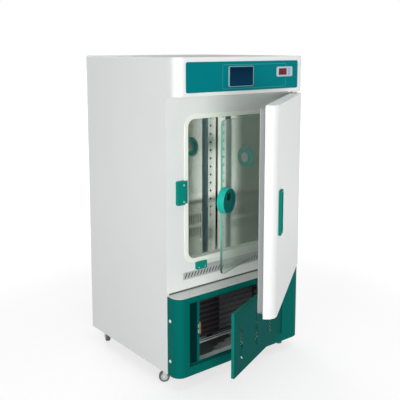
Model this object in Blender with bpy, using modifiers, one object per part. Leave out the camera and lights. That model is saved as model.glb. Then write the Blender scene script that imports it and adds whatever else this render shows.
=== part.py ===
"""Refrigerated incubator on casters, with its outer door, its inner glass door
and its base vent door standing open.

The origin is the centre of the flat underside.  X runs to the right as seen
from the front, Y runs to the back and Z runs up.  Metres.
"""
import math

import bmesh
import bpy
from mathutils import Matrix, Vector

MM = 0.001

# Cabinet
CABINET_WIDTH = 617 * MM
CABINET_DEPTH = 540 * MM
CABINET_HEIGHT = 1130 * MM
NOSE_DEPTH = 60 * MM              # header and base stand this far in front of the door frame
CORNER_RADIUS = 36 * MM           # upright front corners of header and base
SHEET = 1.5 * MM                  # painted sheet steel
SEAT = 0.3 * MM                   # gap left between pieces that touch
PAST = 5 * MM                     # how far a cut runs past the material
HEADER_HEIGHT = 133 * MM
BASE_HEIGHT = 293 * MM
LEDGE_THICKNESS = 2 * MM
SHELL_FOLD_RADIUS = 7 * MM
HALF_WIDTH = CABINET_WIDTH / 2
FRAME_Y = -CABINET_DEPTH / 2       # face of the door frame
NOSE_Y = FRAME_Y - NOSE_DEPTH
BACK_Y = CABINET_DEPTH / 2
INSIDE_X = HALF_WIDTH - SHEET - SEAT
HEADER_BOTTOM = CABINET_HEIGHT - HEADER_HEIGHT
LEDGE_TOP = BASE_HEIGHT + LEDGE_THICKNESS
DECK_Z = LEDGE_TOP + SEAT          # underside of the insulated box
FRAME_TOP = HEADER_BOTTOM - SEAT

# Floor pan and rear cover
PAN_RIM_HEIGHT = 25 * MM
PAN_SHEET = 2 * MM
COVER_RIM_DEPTH = 15 * MM
LOUVRE_LENGTH = 110 * MM
LOUVRE_HEIGHT = 6 * MM
LOUVRE_PITCH = 20 * MM
LOUVRE_ROWS = 8
LOUVRE_COLUMNS = 3
LOUVRE_COLUMN_PITCH = 150 * MM
LOUVRE_BOTTOM = 70 * MM

# Header controls
HEADER_SHEET = 2 * MM
PANEL_LOW_X = 39.5 * MM - HALF_WIDTH
PANEL_HIGH_X = HALF_WIDTH - 41.5 * MM
PANEL_LOW_Z = HEADER_BOTTOM + 13 * MM
PANEL_HIGH_Z = CABINET_HEIGHT - 16 * MM
PANEL_THICKNESS = 1.5 * MM
PANEL_RADIUS = 7 * MM
DISPLAY_X = -25 * MM
DISPLAY_Z = HEADER_BOTTOM + 64 * MM
DISPLAY_WIDTH = 118 * MM
DISPLAY_HEIGHT = 72 * MM
DISPLAY_PROUD = 5 * MM
DISPLAY_BODY_DEPTH = 30 * MM
SCREEN_WIDTH = 104 * MM
SCREEN_HEIGHT = 66 * MM
SCREEN_RADIUS = 5 * MM
SCREEN_THICKNESS = 2 * MM
THERMOSTAT_X = PANEL_HIGH_X - 74 * MM
THERMOSTAT_Z = HEADER_BOTTOM + 76 * MM
THERMOSTAT_WIDTH = 82 * MM
THERMOSTAT_HEIGHT = 37 * MM
THERMOSTAT_PROUD = 5 * MM
THERMOSTAT_BODY_DEPTH = 52 * MM
BEZEL_RADIUS = 6 * MM
BEZEL_SOFTENING = 1 * MM
INSTRUMENT_BACKSET = 4 * MM       # how far an instrument's body stands into its bezel
BEZEL_LIP = 5 * MM                # how far a bezel overlaps the edge of its cut-out
BUTTON_X = THERMOSTAT_X + 22 * MM
BUTTON_WIDTH = 7 * MM
BUTTON_HEIGHT = 5 * MM
BUTTON_PITCH = 9.5 * MM
BUTTON_PROUD = 1.6 * MM
BUTTON_DEPTH = 3 * MM
BUTTON_RADIUS = 1 * MM
BUTTON_TRAVEL = 0.8 * MM

# Door frame and chamber opening
FRAME_FOLD = 18 * MM              # depth of the folded edge behind the frame's face
OPENING_HALF_WIDTH = HALF_WIDTH - 93.5 * MM
OPENING_LOW_Z = LEDGE_TOP + 114 * MM
OPENING_HIGH_Z = HEADER_BOTTOM - 83 * MM
OPENING_RADIUS = 28 * MM
BREAKER_WIDTH = 17 * MM
BREAKER_PROUD = 2.5 * MM
BREAKER_WALL = 3 * MM
BREAKER_DEPTH = 28 * MM
VENT_HALF_LENGTH = HALF_WIDTH - 72.5 * MM
VENT_LOW_Z = LEDGE_TOP + 41 * MM
VENT_STEP_Z = VENT_LOW_Z + 26 * MM
VENT_HIGH_Z = VENT_LOW_Z + 40 * MM
VENT_STEP_X = 100 * MM - VENT_HALF_LENGTH
VENT_FACE = 2 * MM                # behind the door frame's face
VENT_DEPTH = 12 * MM
VENT_SLOT_PITCH = 14 * MM
VENT_SLOT_WIDTH = 5 * MM
VENT_SLOT_LENGTH = 18 * MM
VENT_SLOT_MARGIN = 14 * MM
VENT_SLOT_LEAN = math.radians(30)

# Chamber
CHAMBER_HALF_WIDTH = OPENING_HALF_WIDTH + 10 * MM
CHAMBER_LOW_Z = OPENING_LOW_Z - 7 * MM
CHAMBER_HIGH_Z = OPENING_HIGH_Z + 8 * MM
CHAMBER_DEPTH = 430 * MM          # door frame face to the liner's back wall
LINER_SHEET = 1 * MM
LINER_FRONT = 24 * MM             # door frame face to the liner's front rim
DUCT_FACE = 367 * MM              # door frame face to the air duct's face
CHAMBER_BACK_Y = FRAME_Y + CHAMBER_DEPTH
DUCT_Y = FRAME_Y + DUCT_FACE
DUCT_HALF_WIDTH = CHAMBER_HALF_WIDTH - 81 * MM
DUCT_SLOT_WIDTH = 4 * MM
DUCT_SLOT_MARGIN = 8 * MM
DUCT_LOWER_SLOT_Z = (CHAMBER_LOW_Z + 10 * MM, CHAMBER_LOW_Z + 48 * MM)
DUCT_LOWER_PITCH = 10 * MM
DUCT_UPPER_SLOT_Z = (CHAMBER_HIGH_Z - 42 * MM, CHAMBER_HIGH_Z - 12 * MM)
DUCT_UPPER_PITCH = 12 * MM
STRIP_INNER_X = CHAMBER_HALF_WIDTH - 48 * MM
STRIP_OUTER_X = CHAMBER_HALF_WIDTH - 6 * MM
STRIP_HOLE_X = STRIP_INNER_X + 14 * MM
STRIP_HOLE_RADIUS = 5 * MM
STRIP_HOLE_PITCH = 35.7 * MM
STRIP_FIRST_HOLE_Z = CHAMBER_LOW_Z + 34 * MM
STRIP_TOP_MARGIN = 20 * MM         # above the highest hole

# Cooling, heating and air circulation behind the duct
FAN_Z = CHAMBER_HIGH_Z - 162 * MM
FAN_RADIUS = 65 * MM
FAN_BLADES = 5
FAN_HUB_RADIUS = 13 * MM
FAN_WIDTH = 22 * MM
FAN_GAP = 12 * MM                 # duct face to the fan
FAN_BLADE = 2 * MM
FAN_PITCH = math.radians(24)
SHAFT_RADIUS = 3 * MM
SHAFT_HOLE_RADIUS = 6 * MM
MOTOR_RADIUS = 35 * MM
MOTOR_LENGTH = 45 * MM
COIL_HALF_WIDTH = DUCT_HALF_WIDTH - 39 * MM
COIL_LOW_Z = CHAMBER_LOW_Z + 78 * MM
COIL_PITCH = 22 * MM
COIL_FAN_CLEARANCE = 50 * MM       # from the coil to the fan
COIL_TUBE_RADIUS = 4.5 * MM
COIL_PLATE_MARGIN = 12 * MM       # beyond the end rows and inside the bends
COIL_PLATE_FRONT = 10 * MM
HEATER_HALF_WIDTH = DUCT_HALF_WIDTH - 49 * MM
HEATER_LOW_Z = CHAMBER_HIGH_Z - 82 * MM
HEATER_PITCH = 24 * MM
HEATER_RADIUS = 4 * MM
HEATER_BRACKET_MARGIN = 8 * MM
PROBE_X = DUCT_HALF_WIDTH - 49 * MM
PROBE_Z = FAN_Z - 60 * MM
PROBE_RADIUS = 2.5 * MM
PROBE_LENGTH = 48 * MM
PROBE_FOOT = 4 * MM

# Test port through the right wall
PORT_DEPTH = 184 * MM             # door frame face to the port's axis
PORT_Z = CHAMBER_LOW_Z + 311 * MM
PORT_BORE_RADIUS = 20 * MM
PORT_TUBE_RADIUS = 24 * MM
PORT_RING_RADIUS = 44 * MM
PORT_RING_THICKNESS = 9 * MM
PORT_RING_SOFTENING = 2.5 * MM
PORT_COLLAR_RADIUS = 38 * MM
PORT_COLLAR_THICKNESS = 4 * MM

# Glass door
GLASS_PIVOT_X = OPENING_HALF_WIDTH + 7 * MM
GLASS_PIVOT_OUT = 9 * MM          # in front of the door frame
GLASS_THICKNESS = 8 * MM
GLASS_FREE_X = -OPENING_HALF_WIDTH - 15 * MM
GLASS_HINGE_X = GLASS_PIVOT_X + 1 * MM
GLASS_LOW_Z = OPENING_LOW_Z - 14 * MM
GLASS_HIGH_Z = OPENING_HIGH_Z + 9 * MM
GLASS_RADIUS = 16 * MM
GLASS_OPEN = math.radians(20.5)
GLASS_Y = FRAME_Y - GLASS_PIVOT_OUT
GLASS_FRONT_Y = GLASS_Y - GLASS_THICKNESS / 2
GLASS_BACK_Y = GLASS_Y + GLASS_THICKNESS / 2
RAIL_WIDTH = 15.5 * MM
RAIL_WALL = 1.5 * MM
RAIL_CAP = 3 * MM
GLASS_PIN_RADIUS = 2.5 * MM
GLASS_PIN_LENGTH = 7 * MM
GLASS_ARM_HALF = 9 * MM
GLASS_ARM_FRONT = 7 * MM
GLASS_ARM_RADIUS = 5 * MM
GLASS_FOOT_HALF = 12 * MM
GLASS_FOOT_HEIGHT = 15 * MM
LATCH_X = GLASS_FREE_X + 25 * MM
LATCH_Z = OPENING_LOW_Z + 246 * MM
LATCH_OFFSET = 22 * MM            # turning axis to the middle of the disc
LATCH_RADIUS = 44 * MM
LATCH_THICKNESS = 26 * MM
LATCH_SOFTENING = 3 * MM
LATCH_DISH_RADIUS = 32 * MM
LATCH_DISH_DEPTH = 4 * MM
LATCH_FINGER_RADIUS = 12 * MM
LATCH_FINGER_RISE = 14 * MM
LATCH_GRIP_WIDTH = 8 * MM
LATCH_HUB_RADIUS = 8 * MM
LATCH_WASHER_RADIUS = 9.5 * MM
LATCH_WASHER_THICKNESS = 2.5 * MM
CATCH_LOW_X = GLASS_FREE_X - 39 * MM
CATCH_STEP_X = GLASS_FREE_X - 6 * MM
CATCH_HIGH_X = GLASS_FREE_X + 11 * MM
CATCH_LOW_Z = LATCH_Z - 40 * MM
CATCH_HIGH_Z = LATCH_Z + 46 * MM
CATCH_PROUD = 12.5 * MM
CATCH_RADIUS = 4 * MM
CATCH_TAB_INSET = 2 * MM
REST_LOW_X = GLASS_FREE_X + 47 * MM
REST_HIGH_X = VENT_STEP_X
REST_LOW_Z = VENT_STEP_Z + 4 * MM
REST_PROUD = 12 * MM
REST_RADIUS = 3 * MM
REST_LIP_DEPTH = 5 * MM

# Outer door
DOOR_LOW_Z = LEDGE_TOP + 11 * MM
DOOR_HIGH_Z = HEADER_BOTTOM - 9 * MM
DOOR_SKIN_DEPTH = 40 * MM
DOOR_CORNER_RADIUS = 34 * MM
DOOR_FLANGE = 16 * MM             # the skin's edge turned in behind the inner panel
DOOR_PIVOT_INSET = 23.5 * MM      # from the door's hinge side
DOOR_PIVOT_OUT = 38 * MM          # in front of the door frame
DOOR_PIVOT_X = HALF_WIDTH - DOOR_PIVOT_INSET
DOOR_PIVOT_Y = FRAME_Y - DOOR_PIVOT_OUT
DOOR_PIN_RADIUS = 4 * MM
DOOR_PIN_LENGTH = 12 * MM
HINGE_PLATE = 3 * MM
HINGE_PLATE_REACH = 12 * MM       # in front of the pivot
HINGE_PLATE_INNER = 50 * MM
HINGE_PLATE_OUTER = 14 * MM
HINGE_PLATE_RADIUS = 8 * MM
DOOR_OPEN = math.radians(36.3)
LINER_PANEL = 2 * MM
LINER_INSET = 8 * MM
LINER_RECESS_INSET_X = 34 * MM
LINER_RECESS_INSET_Z = 40 * MM
LINER_RECESS_RADIUS = 16 * MM
LINER_RECESS_FLOOR = 44 * MM      # in front of the door frame
GASKET_WIDTH = 16 * MM
GASKET_INSET = LINER_INSET + 1.5 * MM   # from the door's edge
GASKET_HINGE_INSET = LINER_INSET + 12.5 * MM
GASKET_RADIUS = 14 * MM
GASKET_GAP = 0.8 * MM             # left between the shut gasket and the frame
HANDLE_LOW_X = 35.5 * MM - HALF_WIDTH
HANDLE_WIDTH = 48 * MM
HANDLE_LOW_Z = DOOR_LOW_Z + 265 * MM
HANDLE_HIGH_Z = HANDLE_LOW_Z + 145 * MM
HANDLE_PROUD = 8 * MM
HANDLE_CUP_DEPTH = 10 * MM
HANDLE_RIM = 7 * MM
HANDLE_RADIUS = 8 * MM
HANDLE_SOFTENING = 2 * MM
HANDLE_WALL = 2 * MM

# Base and its vent door
POCKET_LOW_X = 54.5 * MM - HALF_WIDTH
POCKET_HIGH_X = HALF_WIDTH - 100.5 * MM
POCKET_LOW_Z = 34 * MM
POCKET_HIGH_Z = BASE_HEIGHT - 22 * MM
POCKET_DEPTH = 16 * MM
SERVICE_LOW_X = POCKET_LOW_X + 56.5 * MM
SERVICE_HIGH_X = POCKET_HIGH_X - 22 * MM
SERVICE_LOW_Z = POCKET_LOW_Z + 3 * MM
SERVICE_HIGH_Z = POCKET_HIGH_Z - 5 * MM
POST_WIDTH = 11 * MM               # beside the opening, with a gap on its other side
POST_GAP_LOW_X = POCKET_LOW_X + 2 * MM
VENT_DOOR_PIVOT_X = POCKET_HIGH_X - 9 * MM
VENT_DOOR_FREE_X = POCKET_LOW_X + 28 * MM
VENT_DOOR_HINGE_EDGE = 6 * MM     # from the pivot to the door's hinge edge
VENT_DOOR_THICKNESS = 12 * MM
VENT_DOOR_PIVOT_Y = NOSE_Y + VENT_DOOR_THICKNESS / 2
VENT_DOOR_CLEARANCE = 2 * MM
VENT_DOOR_OPEN = math.radians(22.9)
VENT_PIN_RADIUS = 2.5 * MM
VENT_PIN_LENGTH = 9 * MM
VENT_LOUVRE_COLUMNS = 3
VENT_LOUVRE_FIRST_X = VENT_DOOR_FREE_X + 60 * MM
VENT_LOUVRE_COLUMN_PITCH = 129 * MM
VENT_LOUVRE_ROWS = 9
VENT_LOUVRE_LENGTH = 24 * MM
VENT_LOUVRE_WIDTH = 4.5 * MM
VENT_LOUVRE_PITCH = 14 * MM
VENT_LOUVRE_LEAN = math.radians(45)
VENT_LOUVRE_Z = (POCKET_LOW_Z + POCKET_HIGH_Z) / 2 - 6.5 * MM  # middle of each column
CATCH_BARREL_RADIUS = 5 * MM
CATCH_BARREL_LENGTH = 46 * MM
CATCH_BARREL_Z = (SERVICE_LOW_Z + SERVICE_HIGH_Z) / 2 + 8.5 * MM
CATCH_FLAP = 9 * MM               # beyond the opening's edge

# Refrigeration in the base
CONDENSER_LOW_X = SERVICE_LOW_X + 2.5 * MM
CONDENSER_HIGH_X = SERVICE_HIGH_X - 21 * MM
CONDENSER_FACE = 45 * MM          # behind the door frame's plane
CONDENSER_LOW_Z = SERVICE_LOW_Z + 33 * MM
CONDENSER_TOP_MARGIN = 31 * MM
CONDENSER_PITCH = 20 * MM
CONDENSER_TUBE_RADIUS = 4 * MM
CONDENSER_PLATE = 2 * MM
CONDENSER_DEPTH = 24 * MM
CONDENSER_MARGIN = 14 * MM        # plates beyond the end rows
CONDENSER_PLATE_INSET = 12 * MM
CONDENSER_RAIL = 8 * MM
COOLING_FAN_X = (CONDENSER_LOW_X + CONDENSER_HIGH_X) / 2
COOLING_FAN_Z = 150 * MM
COOLING_FAN_RADIUS = 75 * MM
COOLING_FAN_WIDTH = 20 * MM
COOLING_MOTOR_RADIUS = 28 * MM
COOLING_HUB_RADIUS = 16 * MM
COOLING_BLADES = 4
COOLING_FAN_GAP = 8 * MM          # condenser to fan
COOLING_MOTOR_GAP = 3 * MM
COOLING_MOTOR_LENGTH = 42 * MM
COOLING_BRACKET_HALF = 12 * MM
COOLING_BRACKET_SHEET = 2 * MM
COOLING_BRACKET_FOOT = 24 * MM
COMPRESSOR_X = 158.5 * MM - HALF_WIDTH
COMPRESSOR_DEPTH = 380 * MM       # door frame face to the compressor's axis
COMPRESSOR_RADIUS = 78 * MM
COMPRESSOR_HEIGHT = 175 * MM
COMPRESSOR_FOOT_HEIGHT = 12 * MM
COMPRESSOR_FOOT_RADIUS = 10 * MM
COMPRESSOR_BASE = (95 * MM, 55 * MM, 2 * MM)          # half width, half depth, half thickness
COMPRESSOR_FEET = (80 * MM, 42 * MM)
COMPRESSOR_BOX_HALF = 22 * MM
COMPRESSOR_BOX_SPAN = (60 * MM, 105 * MM)             # low and high edge of the terminal box
COMPRESSOR_BOX_PROUD = 26 * MM
TRAY_LOW_X = COMPRESSOR_X + 50 * MM
TRAY_HIGH_X = HALF_WIDTH - 118.5 * MM
TRAY_FRONT = 152 * MM
TRAY_BACK = 298 * MM
TRAY_HEIGHT = 26 * MM
TRAY_SHEET = 2 * MM

# Casters
CASTER_X = HALF_WIDTH - 36.5 * MM
CASTER_FRONT = 29 * MM
CASTER_REAR = 48 * MM
CASTER_PLATE_HALF = 28 * MM
CASTER_PLATE_THICKNESS = 3 * MM
CASTER_PLATE_RADIUS = 5 * MM
KING_PIN_RADIUS = 4 * MM
KING_PIN_LENGTH = 7 * MM
CASTER_DROP = 48 * MM             # underside to floor
WHEEL_RADIUS = 20 * MM
WHEEL_WIDTH = 17 * MM
CASTER_TRAIL = 25 * MM
TREAD_RADIUS = 3 * MM             # rounding of the tread's edges
FORK_SHEET = 2 * MM
FORK_HEEL = 16 * MM               # behind the king pin
FORK_CROWN_HEIGHT = 12 * MM
FORK_RADIUS = 9 * MM
FORK_CHEEK_HALF = 6 * MM
FORK_CHEEK_BACK = 9 * MM
AXLE_RADIUS = 3 * MM
CASTER_TURNS = {"front_left": 144, "front_right": -118, "rear_left": 252, "rear_right": 20}   # degrees

for leftover in list(bpy.data.objects):
    bpy.data.objects.remove(leftover, do_unlink=True)
model = bpy.data.collections.new("refrigerated_incubator")
bpy.context.scene.collection.children.link(model)


def finish(name, colour, roughness, metallic=0.0):
    """A plain surface finish."""
    material = bpy.data.materials.new(name)
    material.use_nodes = True
    shader = material.node_tree.nodes["Principled BSDF"]
    shader.inputs["Base Color"].default_value = (*colour, 1)
    shader.inputs["Roughness"].default_value = roughness
    shader.inputs["Metallic"].default_value = metallic
    material.diffuse_color = (*colour, 1)
    return material


WHITE_PAINT = finish("white_paint", (0.86, 0.88, 0.87), 0.35)
TEAL_PAINT = finish("teal_paint", (0.0, 0.24, 0.21), 0.35)
TEAL_PLASTIC = finish("teal_plastic", (0.0, 0.29, 0.24), 0.4)
CREAM_PLASTIC = finish("cream_plastic", (0.72, 0.76, 0.66), 0.45)
GREY_PLASTIC = finish("grey_plastic", (0.45, 0.47, 0.47), 0.5)
DARK_PLASTIC = finish("dark_plastic", (0.03, 0.035, 0.04), 0.5)
PALE_PLASTIC = finish("pale_plastic", (0.62, 0.68, 0.72), 0.4)
BLUE_PLASTIC = finish("blue_plastic", (0.35, 0.62, 0.8), 0.4)
SCREEN_GLASS = finish("screen_glass", (0.01, 0.03, 0.09), 0.12)
DOOR_GLASS = finish("door_glass", (0.35, 0.55, 0.5), 0.05)
STAINLESS = finish("stainless", (0.6, 0.6, 0.58), 0.2, 1.0)
ZINC = finish("zinc_plate", (0.62, 0.63, 0.64), 0.35, 1.0)
COPPER = finish("copper_tube", (0.6, 0.3, 0.18), 0.35, 1.0)
BLACK_PAINT = finish("black_paint", (0.02, 0.02, 0.022), 0.5)
BRASS = finish("brass", (0.7, 0.5, 0.2), 0.3, 1.0)
FOAM = finish("foam", (0.8, 0.72, 0.5), 0.9)
RUBBER = finish("rubber", (0.33, 0.33, 0.36), 0.7)
TYRE = finish("wheel_rubber", (0.2, 0.2, 0.21), 0.6)


def box(low, high):
    """A bmesh box between two corners."""
    shape = bmesh.new()
    size = [b - a for a, b in zip(low, high)]
    centre = [(a + b) / 2 for a, b in zip(low, high)]
    bmesh.ops.create_cube(shape, size=1, matrix=Matrix.Translation(centre) @ Matrix.Diagonal((*size, 1)))
    return shape


def round_edges(shape, along, radius, segments=4, where=None):
    """Round the straight edges that run along one axis, all or where chosen."""
    axis = "xyz".index(along)
    chosen = []
    for edge in shape.edges:
        run = edge.verts[1].co - edge.verts[0].co
        middle = (edge.verts[0].co + edge.verts[1].co) / 2
        if abs(run[axis]) > 0.999 * run.length and (where is None or where(middle)):
            chosen.append(edge)
    bmesh.ops.bevel(shape, geom=chosen, offset=radius, segments=segments, profile=0.5,
                    affect="EDGES", material=-1)
    return shape


def rod(start, end, radius, sides=16, end_radius=None):
    """A bmesh cylinder or cone between two points."""
    start, end = Vector(start), Vector(end)
    run = end - start
    turn = run.to_track_quat("Z", "Y").to_matrix().to_4x4()
    place = Matrix.Translation((start + end) / 2) @ turn
    shape = bmesh.new()
    top = radius if end_radius is None else end_radius
    bmesh.ops.create_cone(shape, cap_ends=True, segments=sides, radius1=radius, radius2=top,
                          depth=run.length, matrix=place)
    return shape


def gather(shapes):
    """Several separate bmesh shapes in one, for one cut."""
    gathered = bmesh.new()
    for shape in shapes:
        held = bpy.data.meshes.new("held")
        shape.to_mesh(held)
        shape.free()
        gathered.from_mesh(held)
        bpy.data.meshes.remove(held)
    return gathered


def part(name, shape, material, smooth=False):
    """A named piece from a bmesh."""
    mesh = bpy.data.meshes.new(name)
    shape.to_mesh(mesh)
    shape.free()
    mesh.materials.append(material)
    piece = bpy.data.objects.new(name, mesh)
    model.objects.link(piece)
    if smooth:
        mesh.shade_smooth()
        mesh.set_sharp_from_angle(angle=math.radians(35))
    return piece


def settle(piece):
    """Apply a piece's modifiers to its mesh."""
    bpy.context.view_layer.update()
    evaluated = piece.evaluated_get(bpy.context.evaluated_depsgraph_get())
    mesh = bpy.data.meshes.new_from_object(evaluated)
    piece.modifiers.clear()
    old = piece.data
    piece.data = mesh
    bpy.data.meshes.remove(old)
    mesh.name = piece.name
    return piece


def combine(piece, shape, operation):
    """Cut a shape out of a piece, or join it on."""
    tool = part("tool", shape, piece.data.materials[0])
    modifier = piece.modifiers.new(operation.lower(), "BOOLEAN")
    modifier.operation = operation
    modifier.object = tool
    settle(piece)
    tool_mesh = tool.data
    bpy.data.objects.remove(tool)
    bpy.data.meshes.remove(tool_mesh)
    return piece


def cut(piece, *shapes):
    for shape in shapes:
        combine(piece, shape, "DIFFERENCE")
    return piece


def join(piece, *shapes):
    for shape in shapes:
        combine(piece, shape, "UNION")
    return piece


def walls(piece, thickness):
    """Give an open surface its sheet thickness, inwards."""
    modifier = piece.modifiers.new("sheet", "SOLIDIFY")
    modifier.thickness = thickness
    modifier.offset = -1
    modifier.use_even_offset = True
    return settle(piece)


def open_face(shape, direction):
    """Take away the face of a box that looks in one direction."""
    direction = Vector(direction)
    faces = [face for face in shape.faces if face.normal.dot(direction) > 0.99]
    bmesh.ops.delete(shape, geom=faces, context="FACES")
    return shape


def tray(low, high, open_side):
    """The outside of a folded sheet tray, open on one side."""
    shape = box(low, high)
    shape.normal_update()
    return open_face(shape, open_side)


def tube(name, points, radius, material, resolution=2):
    """A bent tube through points, as a mesh with welded ends."""
    curve = bpy.data.curves.new(name, "CURVE")
    curve.dimensions = "3D"
    curve.bevel_depth = radius
    curve.bevel_resolution = resolution
    curve.use_fill_caps = True
    spline = curve.splines.new("POLY")
    spline.points.add(len(points) - 1)
    for slot, point in zip(spline.points, points):
        slot.co = (*point, 1)
    guide = bpy.data.objects.new(name + "_curve", curve)
    model.objects.link(guide)
    bpy.context.view_layer.update()
    mesh = bpy.data.meshes.new_from_object(guide.evaluated_get(bpy.context.evaluated_depsgraph_get()))
    bpy.data.objects.remove(guide)
    bpy.data.curves.remove(curve)
    shape = bmesh.new()
    shape.from_mesh(mesh)
    bpy.data.meshes.remove(mesh)
    bmesh.ops.remove_doubles(shape, verts=shape.verts, dist=0.00001)
    bmesh.ops.recalc_face_normals(shape, faces=shape.faces)
    return part(name, shape, material, smooth=True)


def serpentine(half_width, low_z, pitch, rows, y, centre_x=0.0, bend_steps=4):
    """Points of a flat coil: straight runs along X joined by half-round bends."""
    points = []
    bend = pitch / 2
    for row in range(rows):
        side = 1 if row % 2 == 0 else -1
        z = low_z + row * pitch
        points.append((centre_x - side * half_width, y, z))
        points.append((centre_x + side * half_width, y, z))
        if row == rows - 1:
            break
        for step in range(1, bend_steps):
            turn = math.pi * step / bend_steps
            points.append((centre_x + side * (half_width + bend * math.sin(turn)), y,
                           z + bend * (1 - math.cos(turn))))
    return points


def turned(name, profile, centre, material, steps=24):
    """A body of revolution about an upright axis, from (radius, height) pairs, top to bottom."""
    shape = bmesh.new()
    corners = [shape.verts.new((radius, 0, height)) for radius, height in profile]
    for upper, lower in zip(corners, corners[1:]):
        shape.edges.new((upper, lower))
    piece = part(name, shape, material)
    screw = piece.modifiers.new("turn", "SCREW")
    screw.steps = steps
    screw.render_steps = steps
    screw.use_merge_vertices = True
    screw.merge_threshold = 0.00001
    settle(piece)
    piece.data.transform(Matrix.Translation(centre))
    return piece


def axis_empty(name, place):
    """A parent empty on a moving body's axis."""
    empty = bpy.data.objects.new(name, None)
    empty.location = place
    model.objects.link(empty)
    return empty


def hang(pieces, empty):
    """Parent pieces to an axis without moving them."""
    for piece in pieces:
        piece.parent = empty
        piece.matrix_parent_inverse = Matrix.Translation(-Vector(empty.location))


def nose_block(low_z, high_z, inset=0.0, radius=CORNER_RADIUS, back=FRAME_Y):
    """The rounded block in front of the door frame that header and base share."""
    shape = box((-HALF_WIDTH + inset, NOSE_Y + inset, low_z), (HALF_WIDTH - inset, back, high_z))
    round_edges(shape, "z", radius - inset, 6, lambda middle: middle.y < back - NOSE_DEPTH / 2)
    return shape


def make_outer_shell():
    """Left side, top and right side, folded from one sheet."""
    shape = box((-HALF_WIDTH, FRAME_Y, 0), (HALF_WIDTH, BACK_Y, CABINET_HEIGHT))
    for direction in ((0, -1, 0), (0, 1, 0), (0, 0, -1)):
        open_face(shape, direction)
    round_edges(shape, "y", SHELL_FOLD_RADIUS, 3, lambda middle: middle.z > CABINET_HEIGHT / 2)
    shell = walls(part("outer_shell", shape, WHITE_PAINT), SHEET)
    return cut(shell, port_hole(HALF_WIDTH - PAST, HALF_WIDTH + PAST))


def port_hole(start_x, end_x):
    """Room for the test port's tube between two walls."""
    y = FRAME_Y + PORT_DEPTH
    return rod((start_x, y, PORT_Z), (end_x, y, PORT_Z), PORT_TUBE_RADIUS + SEAT, 24)


def make_rear_cover():
    """Back sheet with a folded rim and louvres for the refrigeration unit."""
    top = CABINET_HEIGHT - SHEET - SEAT
    low = (-INSIDE_X, BACK_Y - COVER_RIM_DEPTH, SEAT)
    shape = tray(low, (INSIDE_X, BACK_Y, top), (0, -1, 0))
    round_edges(shape, "y", SHELL_FOLD_RADIUS - SHEET, 3, lambda middle: middle.z > CABINET_HEIGHT / 2)
    cover = walls(part("rear_cover", shape, WHITE_PAINT), SHEET)
    slots = []
    for column in range(LOUVRE_COLUMNS):
        middle_x = (column - (LOUVRE_COLUMNS - 1) / 2) * LOUVRE_COLUMN_PITCH
        for row in range(LOUVRE_ROWS):
            z = LOUVRE_BOTTOM + row * LOUVRE_PITCH
            slots.append(box((middle_x - LOUVRE_LENGTH / 2, BACK_Y - 2 * SHEET, z),
                             (middle_x + LOUVRE_LENGTH / 2, BACK_Y + SHEET, z + LOUVRE_HEIGHT)))
    return cut(cover, gather(slots))


def make_floor_pan():
    """Folded pan that carries the refrigeration unit and the casters."""
    high = (INSIDE_X, BACK_Y - COVER_RIM_DEPTH - SEAT, PAN_RIM_HEIGHT)
    shape = tray((-INSIDE_X, FRAME_Y + SEAT, 0), high, (0, 0, 1))
    return walls(part("floor_pan", shape, ZINC), PAN_SHEET)


def make_header():
    """White nose above the door, with the control panel on its front."""
    housing = part("header_housing", nose_block(HEADER_BOTTOM, CABINET_HEIGHT), WHITE_PAINT)
    hollow = nose_block(HEADER_BOTTOM + HEADER_SHEET, CABINET_HEIGHT - HEADER_SHEET, HEADER_SHEET,
                        back=FRAME_Y + PAST)
    display = control_body("display", DISPLAY_X, DISPLAY_Z, DISPLAY_WIDTH, DISPLAY_HEIGHT, SEAT)
    thermostat = control_body("thermostat", THERMOSTAT_X, THERMOSTAT_Z, THERMOSTAT_WIDTH,
                              THERMOSTAT_HEIGHT, SEAT)
    cut(housing, hollow, display, thermostat)
    low = (PANEL_LOW_X, NOSE_Y - SEAT - PANEL_THICKNESS, PANEL_LOW_Z)
    sheet = round_edges(box(low, (PANEL_HIGH_X, NOSE_Y - SEAT, PANEL_HIGH_Z)), "y", PANEL_RADIUS, 4)
    panel = part("control_panel", sheet, TEAL_PLASTIC)
    cut(panel, control_body("display", DISPLAY_X, DISPLAY_Z, DISPLAY_WIDTH, DISPLAY_HEIGHT, SEAT),
        control_body("thermostat", THERMOSTAT_X, THERMOSTAT_Z, THERMOSTAT_WIDTH, THERMOSTAT_HEIGHT, SEAT))


def control_body(kind, x, z, width, height, clearance):
    """The part of a panel instrument that passes through its cut-out."""
    depth = DISPLAY_BODY_DEPTH if kind == "display" else THERMOSTAT_BODY_DEPTH
    half = width / 2 - BEZEL_LIP + clearance
    tall = height / 2 - BEZEL_LIP + clearance
    front = NOSE_Y - INSTRUMENT_BACKSET
    return box((x - half, front, z - tall), (x + half, front + depth, z + tall))


def control_bezel(x, z, width, height, proud):
    """The rim of a panel instrument, in front of the control panel."""
    back = NOSE_Y - 2 * SEAT - PANEL_THICKNESS
    shape = box((x - width / 2, back - proud, z - height / 2), (x + width / 2, back, z + height / 2))
    round_edges(shape, "y", BEZEL_RADIUS, 4)
    front = [edge for edge in shape.edges
             if all(vert.co.y < back - proud / 2 for vert in edge.verts)]
    bmesh.ops.bevel(shape, geom=front, offset=BEZEL_SOFTENING, segments=2, profile=0.5,
                    affect="EDGES", material=-1)
    return shape


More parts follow.
